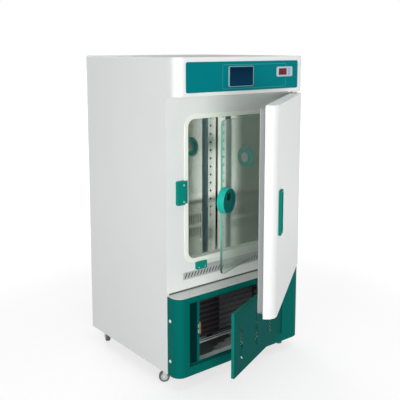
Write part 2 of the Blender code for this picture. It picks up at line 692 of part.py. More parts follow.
def make_display():
    """Touch display: moulded bezel and body, and a glass screen set in it."""
    bezel = part("display_bezel", control_bezel(DISPLAY_X, DISPLAY_Z, DISPLAY_WIDTH, DISPLAY_HEIGHT,
                                                DISPLAY_PROUD), PALE_PLASTIC)
    join(bezel, control_body("display", DISPLAY_X, DISPLAY_Z, DISPLAY_WIDTH, DISPLAY_HEIGHT, 0))
    face = NOSE_Y - 2 * SEAT - PANEL_THICKNESS - DISPLAY_PROUD
    half, tall = SCREEN_WIDTH / 2, SCREEN_HEIGHT / 2
    seat = box((DISPLAY_X - half - SEAT, face - SHEET, DISPLAY_Z - tall - SEAT),
               (DISPLAY_X + half + SEAT, face + SCREEN_THICKNESS + SEAT, DISPLAY_Z + tall + SEAT))
    cut(bezel, round_edges(seat, "y", SCREEN_RADIUS + SEAT, 4))
    screen = box((DISPLAY_X - half, face, DISPLAY_Z - tall),
                 (DISPLAY_X + half, face + SCREEN_THICKNESS, DISPLAY_Z + tall))
    part("display_glass", round_edges(screen, "y", SCREEN_RADIUS, 4), SCREEN_GLASS)


def make_thermostat():
    """Small controller with three sprung buttons beside its window."""
    case = part("thermostat_case", control_bezel(THERMOSTAT_X, THERMOSTAT_Z, THERMOSTAT_WIDTH,
                                                 THERMOSTAT_HEIGHT, THERMOSTAT_PROUD), PALE_PLASTIC)
    join(case, control_body("thermostat", THERMOSTAT_X, THERMOSTAT_Z, THERMOSTAT_WIDTH,
                            THERMOSTAT_HEIGHT, 0))
    face = NOSE_Y - 2 * SEAT - PANEL_THICKNESS - THERMOSTAT_PROUD
    half, tall = BUTTON_WIDTH / 2, BUTTON_HEIGHT / 2
    for name, step in (("raise_button", 1), ("set_button", 0), ("lower_button", -1)):
        z = THERMOSTAT_Z + step * BUTTON_PITCH
        cut(case, box((BUTTON_X - half - SEAT, face - SHEET, z - tall - SEAT),
                      (BUTTON_X + half + SEAT, face + BUTTON_DEPTH + BUTTON_TRAVEL + SEAT,
                       z + tall + SEAT)))
        key = box((-half, -BUTTON_PROUD, -tall), (half, BUTTON_DEPTH, tall))
        round_edges(key, "y", BUTTON_RADIUS, 2)
        button = part(name, key, BLUE_PLASTIC)
        button.location = (BUTTON_X, face, z)


def opening_block(grow, front, back):
    """The chamber opening's rounded outline, grown on all sides, between two depths."""
    half = OPENING_HALF_WIDTH + grow
    shape = box((-half, front, OPENING_LOW_Z - grow), (half, back, OPENING_HIGH_Z + grow))
    return round_edges(shape, "y", OPENING_RADIUS + grow, 6)


def vent_outline(grow, front, back):
    """The vent strip's recess: long and low, with a higher right part."""
    low = box((-VENT_HALF_LENGTH - grow, front, VENT_LOW_Z - grow),
              (VENT_HALF_LENGTH + grow, back, VENT_STEP_Z + grow))
    high = box((VENT_STEP_X - grow, front, VENT_STEP_Z - PAST),
               (VENT_HALF_LENGTH + grow, back, VENT_HIGH_Z + grow))
    return low, high


def make_front_frame():
    """White sheet around the chamber opening, folded back along its edges."""
    shape = tray((-INSIDE_X, FRAME_Y, DECK_Z), (INSIDE_X, FRAME_Y + FRAME_FOLD, FRAME_TOP), (0, 1, 0))
    frame = walls(part("front_frame", shape, WHITE_PAINT), SHEET)
    cut(frame, opening_block(BREAKER_WALL + SEAT, FRAME_Y - SHEET, FRAME_Y + FRAME_FOLD))
    cut(frame, *vent_outline(SEAT, FRAME_Y - SHEET, FRAME_Y + FRAME_FOLD / 2))
    return frame


def make_breaker_strip():
    """Cream moulding that lines the opening and breaks the cold path to the frame."""
    front = FRAME_Y - SEAT - BREAKER_PROUD
    half = OPENING_HALF_WIDTH + BREAKER_WIDTH
    bead = box((-half, front, OPENING_LOW_Z - BREAKER_WIDTH),
               (half, FRAME_Y - SEAT, OPENING_HIGH_Z + BREAKER_WIDTH))
    round_edges(bead, "y", OPENING_RADIUS + BREAKER_WIDTH, 6)
    rim = [edge for edge in bead.edges if all(vert.co.y < front + SEAT for vert in edge.verts)]
    bmesh.ops.bevel(bead, geom=rim, offset=BREAKER_PROUD * 0.8, segments=2, profile=0.5,
                    affect="EDGES", material=-1)
    strip = part("breaker_strip", bead, CREAM_PLASTIC)
    join(strip, opening_block(BREAKER_WALL, FRAME_Y - SEAT - SHEET, FRAME_Y + BREAKER_DEPTH))
    return cut(strip, opening_block(0, front - SHEET, FRAME_Y + BREAKER_DEPTH + SHEET))


def make_vent_strip():
    """Air inlet grille under the opening, with a row of leaning slots."""
    low, high = vent_outline(0, FRAME_Y + VENT_FACE, FRAME_Y + VENT_DEPTH)
    strip = join(part("vent_strip", low, GREY_PLASTIC), high)
    count = int(2 * (VENT_HALF_LENGTH - VENT_SLOT_MARGIN) / VENT_SLOT_PITCH) + 1
    half, tall = VENT_SLOT_WIDTH / 2, VENT_SLOT_LENGTH / 2
    slots = []
    for index in range(count):
        x = -VENT_HALF_LENGTH + VENT_SLOT_MARGIN + index * VENT_SLOT_PITCH
        slot = box((-half, -PAST, -tall), (half, VENT_DEPTH + PAST, tall))
        place = Matrix.Translation((x, FRAME_Y, (VENT_LOW_Z + VENT_STEP_Z) / 2))
        slot.transform(place @ Matrix.Rotation(VENT_SLOT_LEAN, 4, "Y"))
        slots.append(slot)
    return cut(strip, gather(slots))


def make_liner():
    """Stainless chamber with a turned-in front rim."""
    front = FRAME_Y + LINER_FRONT
    low = (-CHAMBER_HALF_WIDTH, front, CHAMBER_LOW_Z)
    inside = box(low, (CHAMBER_HALF_WIDTH, CHAMBER_BACK_Y, CHAMBER_HIGH_Z))
    grow = LINER_SHEET
    outside = box([value - grow for value in low],
                  [CHAMBER_HALF_WIDTH + grow, CHAMBER_BACK_Y + grow, CHAMBER_HIGH_Z + grow])
    liner = part("chamber_liner", outside, STAINLESS)
    shaft = rod((0, CHAMBER_BACK_Y - PAST, FAN_Z), (0, CHAMBER_BACK_Y + PAST, FAN_Z), SHAFT_HOLE_RADIUS, 12)
    return cut(liner, inside, opening_block(BREAKER_WALL + SEAT, front - PAST, front + PAST),
               port_hole(CHAMBER_HALF_WIDTH - PAST, CHAMBER_HALF_WIDTH + PAST), shaft)


def make_insulation():
    """Foam block between the liner and the cabinet."""
    half = INSIDE_X - SHEET - SEAT
    low = (-half, FRAME_Y + SHEET + SEAT, DECK_Z + SHEET + SEAT)
    high = (half, BACK_Y - COVER_RIM_DEPTH - SEAT, FRAME_TOP - SHEET - SEAT)
    foam = part("insulation", box(low, high), FOAM)
    grow = LINER_SHEET + SEAT
    chamber = box((-CHAMBER_HALF_WIDTH - grow, FRAME_Y + LINER_FRONT - grow, CHAMBER_LOW_Z - grow),
                  (CHAMBER_HALF_WIDTH + grow, CHAMBER_BACK_Y + grow, CHAMBER_HIGH_Z + grow))
    mouth = opening_block(BREAKER_WALL + SEAT, FRAME_Y, FRAME_Y + LINER_FRONT + PAST)
    port = port_hole(CHAMBER_HALF_WIDTH - PAST, HALF_WIDTH + PAST)
    motor = rod((0, CHAMBER_BACK_Y - PAST, FAN_Z), (0, BACK_Y, FAN_Z), MOTOR_RADIUS + SEAT, 24)
    vent = box((-VENT_HALF_LENGTH - SEAT, FRAME_Y, VENT_LOW_Z - SEAT),
               (VENT_HALF_LENGTH + SEAT, FRAME_Y + VENT_DEPTH + SEAT, VENT_HIGH_Z + SEAT))
    return cut(foam, chamber, mouth, port, motor, vent)


def make_duct_panel():
    """Back panel of the chamber, folded back at its sides, slotted at top and bottom."""
    low = (-DUCT_HALF_WIDTH, DUCT_Y, CHAMBER_LOW_Z + SEAT)
    high = (DUCT_HALF_WIDTH, CHAMBER_BACK_Y - SEAT, CHAMBER_HIGH_Z - SEAT)
    shape = box(low, high)
    for direction in ((0, 1, 0), (0, 0, 1), (0, 0, -1)):
        open_face(shape, direction)
    panel = walls(part("duct_panel", shape, STAINLESS), LINER_SHEET)
    for span, pitch in ((DUCT_LOWER_SLOT_Z, DUCT_LOWER_PITCH), (DUCT_UPPER_SLOT_Z, DUCT_UPPER_PITCH)):
        count = int(2 * (DUCT_HALF_WIDTH - DUCT_SLOT_MARGIN) / pitch)
        slots = []
        for index in range(count + 1):
            x = (index - count / 2) * pitch
            slots.append(box((x - DUCT_SLOT_WIDTH / 2, DUCT_Y - PAST, span[0]),
                             (x + DUCT_SLOT_WIDTH / 2, DUCT_Y + PAST, span[1])))
        cut(panel, gather(slots))
    return panel


def make_shelf_strip(name, side):
    """Upright with round holes for shelf pegs, folded back along its inner edge."""
    face = sorted((side * STRIP_INNER_X, side * STRIP_OUTER_X))
    web = sorted((side * STRIP_INNER_X, side * (STRIP_INNER_X + LINER_SHEET)))
    low_z, high_z = CHAMBER_LOW_Z + SEAT, CHAMBER_HIGH_Z - SEAT
    strip = part(name, box((face[0], DUCT_Y, low_z), (face[1], DUCT_Y + LINER_SHEET, high_z)), STAINLESS)
    join(strip, box((web[0], DUCT_Y, low_z), (web[1], CHAMBER_BACK_Y - SEAT, high_z)))
    holes = []
    room = CHAMBER_HIGH_Z - STRIP_TOP_MARGIN - STRIP_FIRST_HOLE_Z
    for index in range(int(room / STRIP_HOLE_PITCH) + 1):
        x, z = side * STRIP_HOLE_X, STRIP_FIRST_HOLE_Z + index * STRIP_HOLE_PITCH
        holes.append(rod((x, DUCT_Y - PAST, z), (x, DUCT_Y + PAST, z), STRIP_HOLE_RADIUS, 10))
    return cut(strip, gather(holes))


def make_evaporator():
    """Serpentine cooling coil on two upright plates behind the duct panel."""
    y = (DUCT_Y + CHAMBER_BACK_Y) / 2
    room = FAN_Z - FAN_RADIUS - COIL_FAN_CLEARANCE - COIL_LOW_Z
    rows = int(room / COIL_PITCH) + 1
    points = serpentine(COIL_HALF_WIDTH, COIL_LOW_Z, COIL_PITCH, rows, y)
    coil = tube("evaporator", points, COIL_TUBE_RADIUS, COPPER)
    top = COIL_LOW_Z + (rows - 1) * COIL_PITCH
    for side in (-1, 1):
        x = side * (COIL_HALF_WIDTH - COIL_PLATE_MARGIN)
        join(coil, box((x - SHEET / 2, y - COIL_PLATE_FRONT, COIL_LOW_Z - COIL_PLATE_MARGIN),
                       (x + SHEET / 2, CHAMBER_BACK_Y - SEAT, top + COIL_PLATE_MARGIN)))
    return coil


def make_heater():
    """Bent tubular heating element on a bracket above the fan."""
    y = (DUCT_Y + CHAMBER_BACK_Y) / 2
    points = serpentine(HEATER_HALF_WIDTH, HEATER_LOW_Z, HEATER_PITCH, 3, y, bend_steps=5)
    heater = tube("heater", points, HEATER_RADIUS, STAINLESS)
    top = HEATER_LOW_Z + 2 * HEATER_PITCH + HEATER_BRACKET_MARGIN
    for x in (-HEATER_HALF_WIDTH / 2, HEATER_HALF_WIDTH / 2):
        join(heater, box((x - SHEET, y - HEATER_RADIUS / 2, HEATER_LOW_Z - HEATER_BRACKET_MARGIN),
                         (x + SHEET, CHAMBER_BACK_Y - SEAT, top)))
    return heater


def make_probe():
    """Temperature probe that stands out of the liner's back wall."""
    foot = CHAMBER_BACK_Y - SEAT
    flange = rod((PROBE_X, foot, PROBE_Z), (PROBE_X, foot - PROBE_FOOT, PROBE_Z), 3 * PROBE_RADIUS, 12)
    probe = part("temperature_probe", flange, STAINLESS, smooth=True)
    start, end = (PROBE_X, foot - PROBE_FOOT / 2, PROBE_Z), (PROBE_X, foot - PROBE_LENGTH, PROBE_Z)
    return join(probe, rod(start, end, PROBE_RADIUS, 12))


def make_impeller(name, centre, radius, width, hub_radius, blades, material):
    """Hub with pitched blades, turning about an axis along Y."""
    half = width / 2
    hub = rod((0, -half, 0), (0, half, 0), hub_radius, 20)
    fan = part(name, hub, material, smooth=True)
    for index in range(blades):
        root = 0.8 * hub_radius
        blade = box((root, -FAN_BLADE / 2, -0.3 * radius), (radius, FAN_BLADE / 2, 0.3 * radius))
        outer = [edge for edge in blade.edges
                 if all(vert.co.x > radius - MM for vert in edge.verts)
                 and abs(edge.verts[0].co.y - edge.verts[1].co.y) > MM]
        bmesh.ops.bevel(blade, geom=outer, offset=0.12 * radius, segments=3, profile=0.5, affect="EDGES",
                        material=-1)
        pitched = Matrix.Rotation(FAN_PITCH, 4, "X")
        blade.transform(Matrix.Rotation(math.tau * index / blades, 4, "Y") @ pitched)
        join(fan, blade)
    cut(fan, rod((0, -half - MM, 0), (0, half + MM, 0), SHAFT_RADIUS + SEAT, 12))
    fan.location = centre
    return fan


def make_circulation_fan():
    """Air fan in the duct, on the shaft of a motor behind the liner."""
    front = DUCT_Y + LINER_SHEET + FAN_GAP
    motor_front = CHAMBER_BACK_Y + LINER_SHEET + SEAT
    can = rod((0, motor_front, FAN_Z), (0, motor_front + MOTOR_LENGTH, FAN_Z), MOTOR_RADIUS, 24)
    motor = part("fan_motor", can, ZINC, smooth=True)
    join(motor, rod((0, front, FAN_Z), (0, motor_front + MM, FAN_Z), SHAFT_RADIUS, 12))
    make_impeller("circulation_fan", (0, front + FAN_WIDTH / 2 + MM, FAN_Z), FAN_RADIUS, FAN_WIDTH,
                  FAN_HUB_RADIUS, FAN_BLADES, GREY_PLASTIC)


def make_port():
    """Cable port: a sleeve with a ring inside the chamber, and a collar outside."""
    y = FRAME_Y + PORT_DEPTH
    wall = CHAMBER_HALF_WIDTH - SEAT
    ring = rod((wall - PORT_RING_THICKNESS, y, PORT_Z), (wall, y, PORT_Z), PORT_RING_RADIUS, 32)
    middle_x = wall - PORT_RING_THICKNESS / 2
    rim = [edge for edge in ring.edges if all(vert.co.x < middle_x for vert in edge.verts)]
    bmesh.ops.bevel(ring, geom=rim, offset=PORT_RING_SOFTENING, segments=2, profile=0.5, affect="EDGES",
                    material=-1)
    sleeve = part("port_sleeve", ring, TEAL_PLASTIC, smooth=True)
    end = HALF_WIDTH + PORT_COLLAR_THICKNESS
    join(sleeve, rod((wall - MM, y, PORT_Z), (end, y, PORT_Z), PORT_TUBE_RADIUS, 32))
    bore_start = (wall - 2 * PORT_RING_THICKNESS, y, PORT_Z)
    cut(sleeve, rod(bore_start, (end + PAST, y, PORT_Z), PORT_BORE_RADIUS, 32))
    outside = rod((HALF_WIDTH + SEAT, y, PORT_Z), (end, y, PORT_Z), PORT_COLLAR_RADIUS, 32)
    cut(part("port_collar", outside, TEAL_PLASTIC, smooth=True), port_hole(HALF_WIDTH - PAST, end + PAST))


def make_glass_catch():
    """Strike block on the frame, with a thin tab under the glass door's edge."""
    block = box((CATCH_LOW_X, FRAME_Y - CATCH_PROUD, CATCH_LOW_Z),
                (CATCH_STEP_X, FRAME_Y - SEAT, CATCH_HIGH_Z))
    round_edges(block, "y", CATCH_RADIUS, 3, lambda middle: middle.x < CATCH_STEP_X - CATCH_RADIUS)
    catch = part("glass_catch", block, TEAL_PLASTIC)
    tab_back = FRAME_Y - 2 * SEAT - BREAKER_PROUD
    inset = CATCH_TAB_INSET
    tab = box((CATCH_STEP_X - inset, GLASS_BACK_Y + SEAT, CATCH_LOW_Z + inset),
              (CATCH_HIGH_X, tab_back, CATCH_HIGH_Z - inset))
    return join(catch, tab)


def make_glass_rest():
    """Block under the opening that carries the shut glass door's free corner."""
    bead_low = OPENING_LOW_Z - BREAKER_WIDTH
    block = box((REST_LOW_X, FRAME_Y - REST_PROUD, REST_LOW_Z),
                (REST_HIGH_X, FRAME_Y - SEAT, bead_low - SEAT))
    round_edges(block, "y", REST_RADIUS, 3, lambda middle: middle.z < REST_LOW_Z + REST_RADIUS)
    rest = part("glass_rest", block, TEAL_PLASTIC)
    lip = box((REST_LOW_X + MM, FRAME_Y - REST_PROUD, bead_low - REST_LIP_DEPTH),
              (REST_HIGH_X - MM, FRAME_Y - 2 * SEAT - BREAKER_PROUD - MM, GLASS_LOW_Z - 2 * SEAT))
    return join(rest, lip)


def make_glass_hinge(name, side):
    """Bracket on the frame with a hole for the glass door's pivot pin."""
    rail_end = GLASS_HIGH_Z + SEAT + RAIL_CAP if side > 0 else GLASS_LOW_Z - SEAT - RAIL_CAP
    bead = OPENING_HIGH_Z + BREAKER_WIDTH if side > 0 else OPENING_LOW_Z - BREAKER_WIDTH
    arm_z = sorted((rail_end + side * SEAT, rail_end + side * (GLASS_PIN_LENGTH + MM)))
    foot_z = sorted((bead + side * SEAT, bead + side * GLASS_FOOT_HEIGHT))
    arm_back = FRAME_Y - SEAT - BREAKER_PROUD - 2 * SEAT
    arm = box((GLASS_PIVOT_X - GLASS_ARM_HALF, GLASS_Y - GLASS_ARM_FRONT, arm_z[0]),
              (GLASS_PIVOT_X + GLASS_ARM_HALF, arm_back, arm_z[1]))
    round_edges(arm, "z", GLASS_ARM_RADIUS, 4, lambda middle: middle.y < GLASS_Y)
    bracket = part(name, arm, STAINLESS)
    join(bracket, box((GLASS_PIVOT_X - GLASS_FOOT_HALF, arm_back - MM, foot_z[0]),
                      (GLASS_PIVOT_X + GLASS_FOOT_HALF, FRAME_Y - SEAT, foot_z[1])))
    return cut(bracket, rod((GLASS_PIVOT_X, GLASS_Y, arm_z[0] - MM),
                            (GLASS_PIVOT_X, GLASS_Y, arm_z[1] + MM),
                            GLASS_PIN_RADIUS + SEAT, 12))


def make_glass_door():
    """Glass pane with a hinge rail on its edge and a turning latch on the other."""
    pane_box = box((GLASS_FREE_X, GLASS_FRONT_Y, GLASS_LOW_Z), (GLASS_HINGE_X, GLASS_BACK_Y, GLASS_HIGH_Z))
    round_edges(pane_box, "y", GLASS_RADIUS, 5, lambda middle: middle.x < 0)
    pane = part("glass_pane", pane_box, DOOR_GLASS)
    cut(pane, rod((LATCH_X, GLASS_FRONT_Y - MM, LATCH_Z), (LATCH_X, GLASS_BACK_Y + MM, LATCH_Z),
                  LATCH_HUB_RADIUS + SEAT, 20))
    half = GLASS_THICKNESS / 2 + SEAT + RAIL_WALL
    low_x = GLASS_PIVOT_X + half - RAIL_WIDTH
    outside = box((low_x, GLASS_Y - half, GLASS_LOW_Z - SEAT - RAIL_CAP),
                  (GLASS_PIVOT_X + half, GLASS_Y + half, GLASS_HIGH_Z + SEAT + RAIL_CAP))
    round_edges(outside, "z", half * 0.98, 5, lambda middle: middle.x > GLASS_PIVOT_X)
    rail = part("glass_hinge_rail", outside, STAINLESS)
    cut(rail, box((low_x - MM, GLASS_FRONT_Y - SEAT, GLASS_LOW_Z - SEAT),
                  (GLASS_HINGE_X + SEAT, GLASS_BACK_Y + SEAT, GLASS_HIGH_Z + SEAT)))
    for end, side in ((GLASS_HIGH_Z + SEAT + RAIL_CAP, 1), (GLASS_LOW_Z - SEAT - RAIL_CAP, -1)):
        join(rail, rod((GLASS_PIVOT_X, GLASS_Y, end - side * MM),
                       (GLASS_PIVOT_X, GLASS_Y, end + side * GLASS_PIN_LENGTH), GLASS_PIN_RADIUS, 12))
    pivot = axis_empty("glass_door_axis", (GLASS_PIVOT_X, GLASS_Y, (GLASS_LOW_Z + GLASS_HIGH_Z) / 2))
    hang((pane, rail, make_glass_latch()), pivot)
    pivot.rotation_euler.z = GLASS_OPEN


def make_glass_latch():
    """Round latch that turns off centre on a hub through the glass."""
    back = GLASS_FRONT_Y - SEAT
    front = back - LATCH_THICKNESS
    middle_x = LATCH_X - LATCH_OFFSET
    disc = rod((middle_x, back, LATCH_Z), (middle_x, front, LATCH_Z), LATCH_RADIUS, 36)
    rim = [edge for edge in disc.edges if all(vert.co.y < (front + back) / 2 for vert in edge.verts)]
    bmesh.ops.bevel(disc, geom=rim, offset=LATCH_SOFTENING, segments=2, profile=0.5, affect="EDGES",
                    material=-1)
    latch = part("glass_latch", disc, TEAL_PLASTIC, smooth=True)
    hub_back = GLASS_BACK_Y + SEAT
    join(latch, rod((LATCH_X, back - MM, LATCH_Z), (LATCH_X, hub_back + MM, LATCH_Z), LATCH_HUB_RADIUS, 20))
    join(latch, rod((LATCH_X, hub_back, LATCH_Z), (LATCH_X, hub_back + LATCH_WASHER_THICKNESS, LATCH_Z),
                    LATCH_WASHER_RADIUS, 20))
    floor = front + LATCH_DISH_DEPTH
    dish = rod((middle_x, front - PAST, LATCH_Z), (middle_x, floor, LATCH_Z), LATCH_DISH_RADIUS, 28)
    finger_z = LATCH_Z + LATCH_FINGER_RISE
    finger = rod((middle_x, front - PAST, finger_z), (middle_x, back - LATCH_DISH_DEPTH, finger_z),
                 LATCH_FINGER_RADIUS, 20)
    cut(latch, dish, finger)
    grip = box((middle_x - LATCH_GRIP_WIDTH / 2, front + MM, LATCH_Z - LATCH_DISH_RADIUS),
               (middle_x + LATCH_GRIP_WIDTH / 2, floor + MM, LATCH_Z - MM))
    return join(latch, grip)


def make_outer_door():
    """Insulated door: folded skin, moulded inner panel, gasket and pull handle."""
    skin_back = NOSE_Y + DOOR_SKIN_DEPTH
    shape = box((-HALF_WIDTH, NOSE_Y, DOOR_LOW_Z), (HALF_WIDTH, skin_back, DOOR_HIGH_Z))
    shape.normal_update()
    half_way = skin_back - DOOR_SKIN_DEPTH / 2
    round_edges(shape, "z", DOOR_CORNER_RADIUS, 6, lambda middle: middle.y < half_way)
    shape.normal_update()
    back = [face for face in shape.faces if face.normal.y > 0.99]
    bmesh.ops.inset_region(shape, faces=back, thickness=DOOR_FLANGE, use_even_offset=True)
    bmesh.ops.delete(shape, geom=back, context="FACES")
    skin = walls(part("door_shell", shape, WHITE_PAINT), SHEET)
    for z in (DOOR_LOW_Z, DOOR_HIGH_Z):
        cut(skin, rod((DOOR_PIVOT_X, DOOR_PIVOT_Y, z - PAST), (DOOR_PIVOT_X, DOOR_PIVOT_Y, z + PAST),
                      DOOR_PIN_RADIUS + SEAT, 16))
    handle_high_x = HANDLE_LOW_X + HANDLE_WIDTH
    rim = HANDLE_RIM - SEAT
    cut(skin, box((HANDLE_LOW_X + rim, NOSE_Y - SHEET, HANDLE_LOW_Z + rim),
                  (handle_high_x - rim, NOSE_Y + 2 * SHEET, HANDLE_HIGH_Z - rim)))
    panel_back = skin_back + SEAT + LINER_PANEL
    edge_x = HALF_WIDTH - LINER_INSET
    panel = part("door_liner", box((-edge_x, skin_back + SEAT, DOOR_LOW_Z + LINER_INSET),
                                   (edge_x, panel_back, DOOR_HIGH_Z - LINER_INSET)), CREAM_PLASTIC)
    floor_y = FRAME_Y - LINER_RECESS_FLOOR
    half, low_z, high_z = (HALF_WIDTH - LINER_RECESS_INSET_X, DOOR_LOW_Z + LINER_RECESS_INSET_Z,
                           DOOR_HIGH_Z - LINER_RECESS_INSET_Z)
    dish = box((-half, floor_y - LINER_PANEL, low_z), (half, panel_back, high_z))
    join(panel, round_edges(dish, "y", LINER_RECESS_RADIUS + LINER_PANEL, 4))
    hollow = box((-half + LINER_PANEL, floor_y, low_z + LINER_PANEL),
                 (half - LINER_PANEL, panel_back + MM, high_z - LINER_PANEL))
    cut(panel, round_edges(hollow, "y", LINER_RECESS_RADIUS, 4))
    seal_front, seal_back = panel_back + SEAT, FRAME_Y - GASKET_GAP
    outer, inner = GASKET_INSET, GASKET_INSET + GASKET_WIDTH
    hinge_side = HALF_WIDTH - GASKET_HINGE_INSET
    ring = box((-HALF_WIDTH + outer, seal_front, DOOR_LOW_Z + outer),
               (hinge_side, seal_back, DOOR_HIGH_Z - outer))
    gasket = part("door_gasket", round_edges(ring, "y", GASKET_RADIUS, 4), RUBBER)
    cut(gasket, box((-HALF_WIDTH + inner, seal_front - MM, DOOR_LOW_Z + inner),
                    (hinge_side - GASKET_WIDTH, seal_back + MM, DOOR_HIGH_Z - inner)))
    pivot = axis_empty("outer_door_axis", (DOOR_PIVOT_X, DOOR_PIVOT_Y, (DOOR_LOW_Z + DOOR_HIGH_Z) / 2))
    hang((skin, panel, gasket, make_handle()), pivot)
    pivot.rotation_euler.z = DOOR_OPEN


def make_handle():
    """Cup handle: a low rim on the door's face around a deep finger cup."""
    high_x = HANDLE_LOW_X + HANDLE_WIDTH
    back = NOSE_Y - SEAT
    plate = box((HANDLE_LOW_X, back - HANDLE_PROUD, HANDLE_LOW_Z), (high_x, back, HANDLE_HIGH_Z))
    round_edges(plate, "y", HANDLE_RADIUS, 4)
    rim = [edge for edge in plate.edges if all(vert.co.y < back - HANDLE_PROUD / 2 for vert in edge.verts)]
    bmesh.ops.bevel(plate, geom=rim, offset=HANDLE_SOFTENING, segments=2, profile=0.5, affect="EDGES",
                    material=-1)
    handle = part("door_handle", plate, TEAL_PLASTIC)
    edge = HANDLE_RIM
    join(handle, box((HANDLE_LOW_X + edge, back - MM, HANDLE_LOW_Z + edge),
                     (high_x - edge, NOSE_Y + HANDLE_CUP_DEPTH, HANDLE_HIGH_Z - edge)))
    wall = edge + HANDLE_WALL
    return cut(handle, box((HANDLE_LOW_X + wall, back - 2 * HANDLE_PROUD, HANDLE_LOW_Z + wall),
                           (high_x - wall, NOSE_Y + HANDLE_CUP_DEPTH - HANDLE_WALL, HANDLE_HIGH_Z - wall)))


def make_door_hinge(name, side):
    """Hinge plate fixed to the cabinet, with a pin that enters the door's end."""
    if side > 0:
        plate_z = (HEADER_BOTTOM - SEAT - HINGE_PLATE, HEADER_BOTTOM - SEAT)
        pin_z = (DOOR_HIGH_Z - DOOR_PIN_LENGTH, plate_z[0] + MM)
    else:
        plate_z = (LEDGE_TOP + SEAT, LEDGE_TOP + SEAT + HINGE_PLATE)
        pin_z = (plate_z[1] - MM, DOOR_LOW_Z + DOOR_PIN_LENGTH)
    plate = box((DOOR_PIVOT_X - HINGE_PLATE_INNER, DOOR_PIVOT_Y - HINGE_PLATE_REACH, plate_z[0]),
                (DOOR_PIVOT_X + HINGE_PLATE_OUTER, FRAME_Y - SEAT, plate_z[1]))
    round_edges(plate, "z", HINGE_PLATE_RADIUS, 4, lambda middle: middle.y < DOOR_PIVOT_Y)
    bracket = part(name, plate, ZINC)
    return join(bracket, rod((DOOR_PIVOT_X, DOOR_PIVOT_Y, pin_z[0]), (DOOR_PIVOT_X, DOOR_PIVOT_Y, pin_z[1]),
                             DOOR_PIN_RADIUS, 16))


def make_base():
    """Teal base nose with a rebated service opening, and the pale ledge on top of it."""
    base = part("base_frame", nose_block(0, BASE_HEIGHT - SEAT), TEAL_PAINT)
    cut(base, nose_block(-MM, BASE_HEIGHT + MM, SHEET, back=FRAME_Y + MM))
    flange_back = NOSE_Y + POCKET_DEPTH + SHEET
    join(base, box((POCKET_LOW_X - SHEET, NOSE_Y + SHEET / 2, POCKET_LOW_Z - SHEET),
                   (POCKET_HIGH_X + SHEET, flange_back, POCKET_HIGH_Z + SHEET)))
    cut(base, box((POCKET_LOW_X, NOSE_Y - PAST, POCKET_LOW_Z),
                  (POCKET_HIGH_X, NOSE_Y + POCKET_DEPTH, POCKET_HIGH_Z)),
        box((SERVICE_LOW_X, NOSE_Y, SERVICE_LOW_Z), (SERVICE_HIGH_X, flange_back + PAST, SERVICE_HIGH_Z)),
        box((POST_GAP_LOW_X, NOSE_Y, SERVICE_LOW_Z),
            (SERVICE_LOW_X - POST_WIDTH, flange_back + PAST, SERVICE_HIGH_Z)))
    for end, side in ((POCKET_LOW_Z, 1), (POCKET_HIGH_Z, -1)):
        join(base, rod((VENT_DOOR_PIVOT_X, VENT_DOOR_PIVOT_Y, end - side * MM),
                       (VENT_DOOR_PIVOT_X, VENT_DOOR_PIVOT_Y, end + side * VENT_PIN_LENGTH),
                       VENT_PIN_RADIUS, 12))
    part("ledge_plate", nose_block(BASE_HEIGHT, LEDGE_TOP, back=FRAME_Y - SEAT), CREAM_PLASTIC)


def make_vent_door():
    """Louvred door with folded edges that turns on two pins in the base."""
    low = (VENT_DOOR_FREE_X, NOSE_Y, POCKET_LOW_Z + VENT_DOOR_CLEARANCE)
    high = (VENT_DOOR_PIVOT_X + VENT_DOOR_HINGE_EDGE, NOSE_Y + VENT_DOOR_THICKNESS,
            POCKET_HIGH_Z - VENT_DOOR_CLEARANCE)
    door = walls(part("vent_door", tray(low, high, (0, 1, 0)), TEAL_PAINT), SHEET)
    for z in (low[2], high[2]):
        cut(door, rod((VENT_DOOR_PIVOT_X, VENT_DOOR_PIVOT_Y, z - PAST),
                      (VENT_DOOR_PIVOT_X, VENT_DOOR_PIVOT_Y, z + PAST), VENT_PIN_RADIUS + SEAT, 12))
    slots = []
    for column in range(VENT_LOUVRE_COLUMNS):
        x = VENT_LOUVRE_FIRST_X + column * VENT_LOUVRE_COLUMN_PITCH
        for row in range(VENT_LOUVRE_ROWS):
            z = VENT_LOUVRE_Z + (row - (VENT_LOUVRE_ROWS - 1) / 2) * VENT_LOUVRE_PITCH
            half, thin = VENT_LOUVRE_LENGTH / 2, VENT_LOUVRE_WIDTH / 2
            slot = box((-half, -PAST, -thin), (half, PAST, thin))
            slot.transform(Matrix.Translation((x, NOSE_Y, z)) @ Matrix.Rotation(VENT_LOUVRE_LEAN, 4, "Y"))
            slots.append(slot)
    cut(door, gather(slots))
    pivot = axis_empty("vent_door_axis", (VENT_DOOR_PIVOT_X, VENT_DOOR_PIVOT_Y, (low[2] + high[2]) / 2))
    hang((door,), pivot)
    pivot.rotation_euler.z = VENT_DOOR_OPEN


def make_vent_catch():
    """Brass spring catch on the edge of the service opening."""
    x = SERVICE_LOW_X + SEAT + CATCH_BARREL_RADIUS
    y = NOSE_Y + POCKET_DEPTH + CATCH_BARREL_RADIUS
    half = CATCH_BARREL_LENGTH / 2
    barrel = rod((x, y, CATCH_BARREL_Z - half), (x, y, CATCH_BARREL_Z + half), CATCH_BARREL_RADIUS, 12)
    catch = part("vent_catch", barrel, BRASS, smooth=True)
    seat_y = NOSE_Y + POCKET_DEPTH + SHEET + SEAT
    return join(catch, box((SERVICE_LOW_X - CATCH_FLAP, seat_y, CATCH_BARREL_Z - 0.7 * half),
                           (x, seat_y + SHEET, CATCH_BARREL_Z + 0.7 * half)))


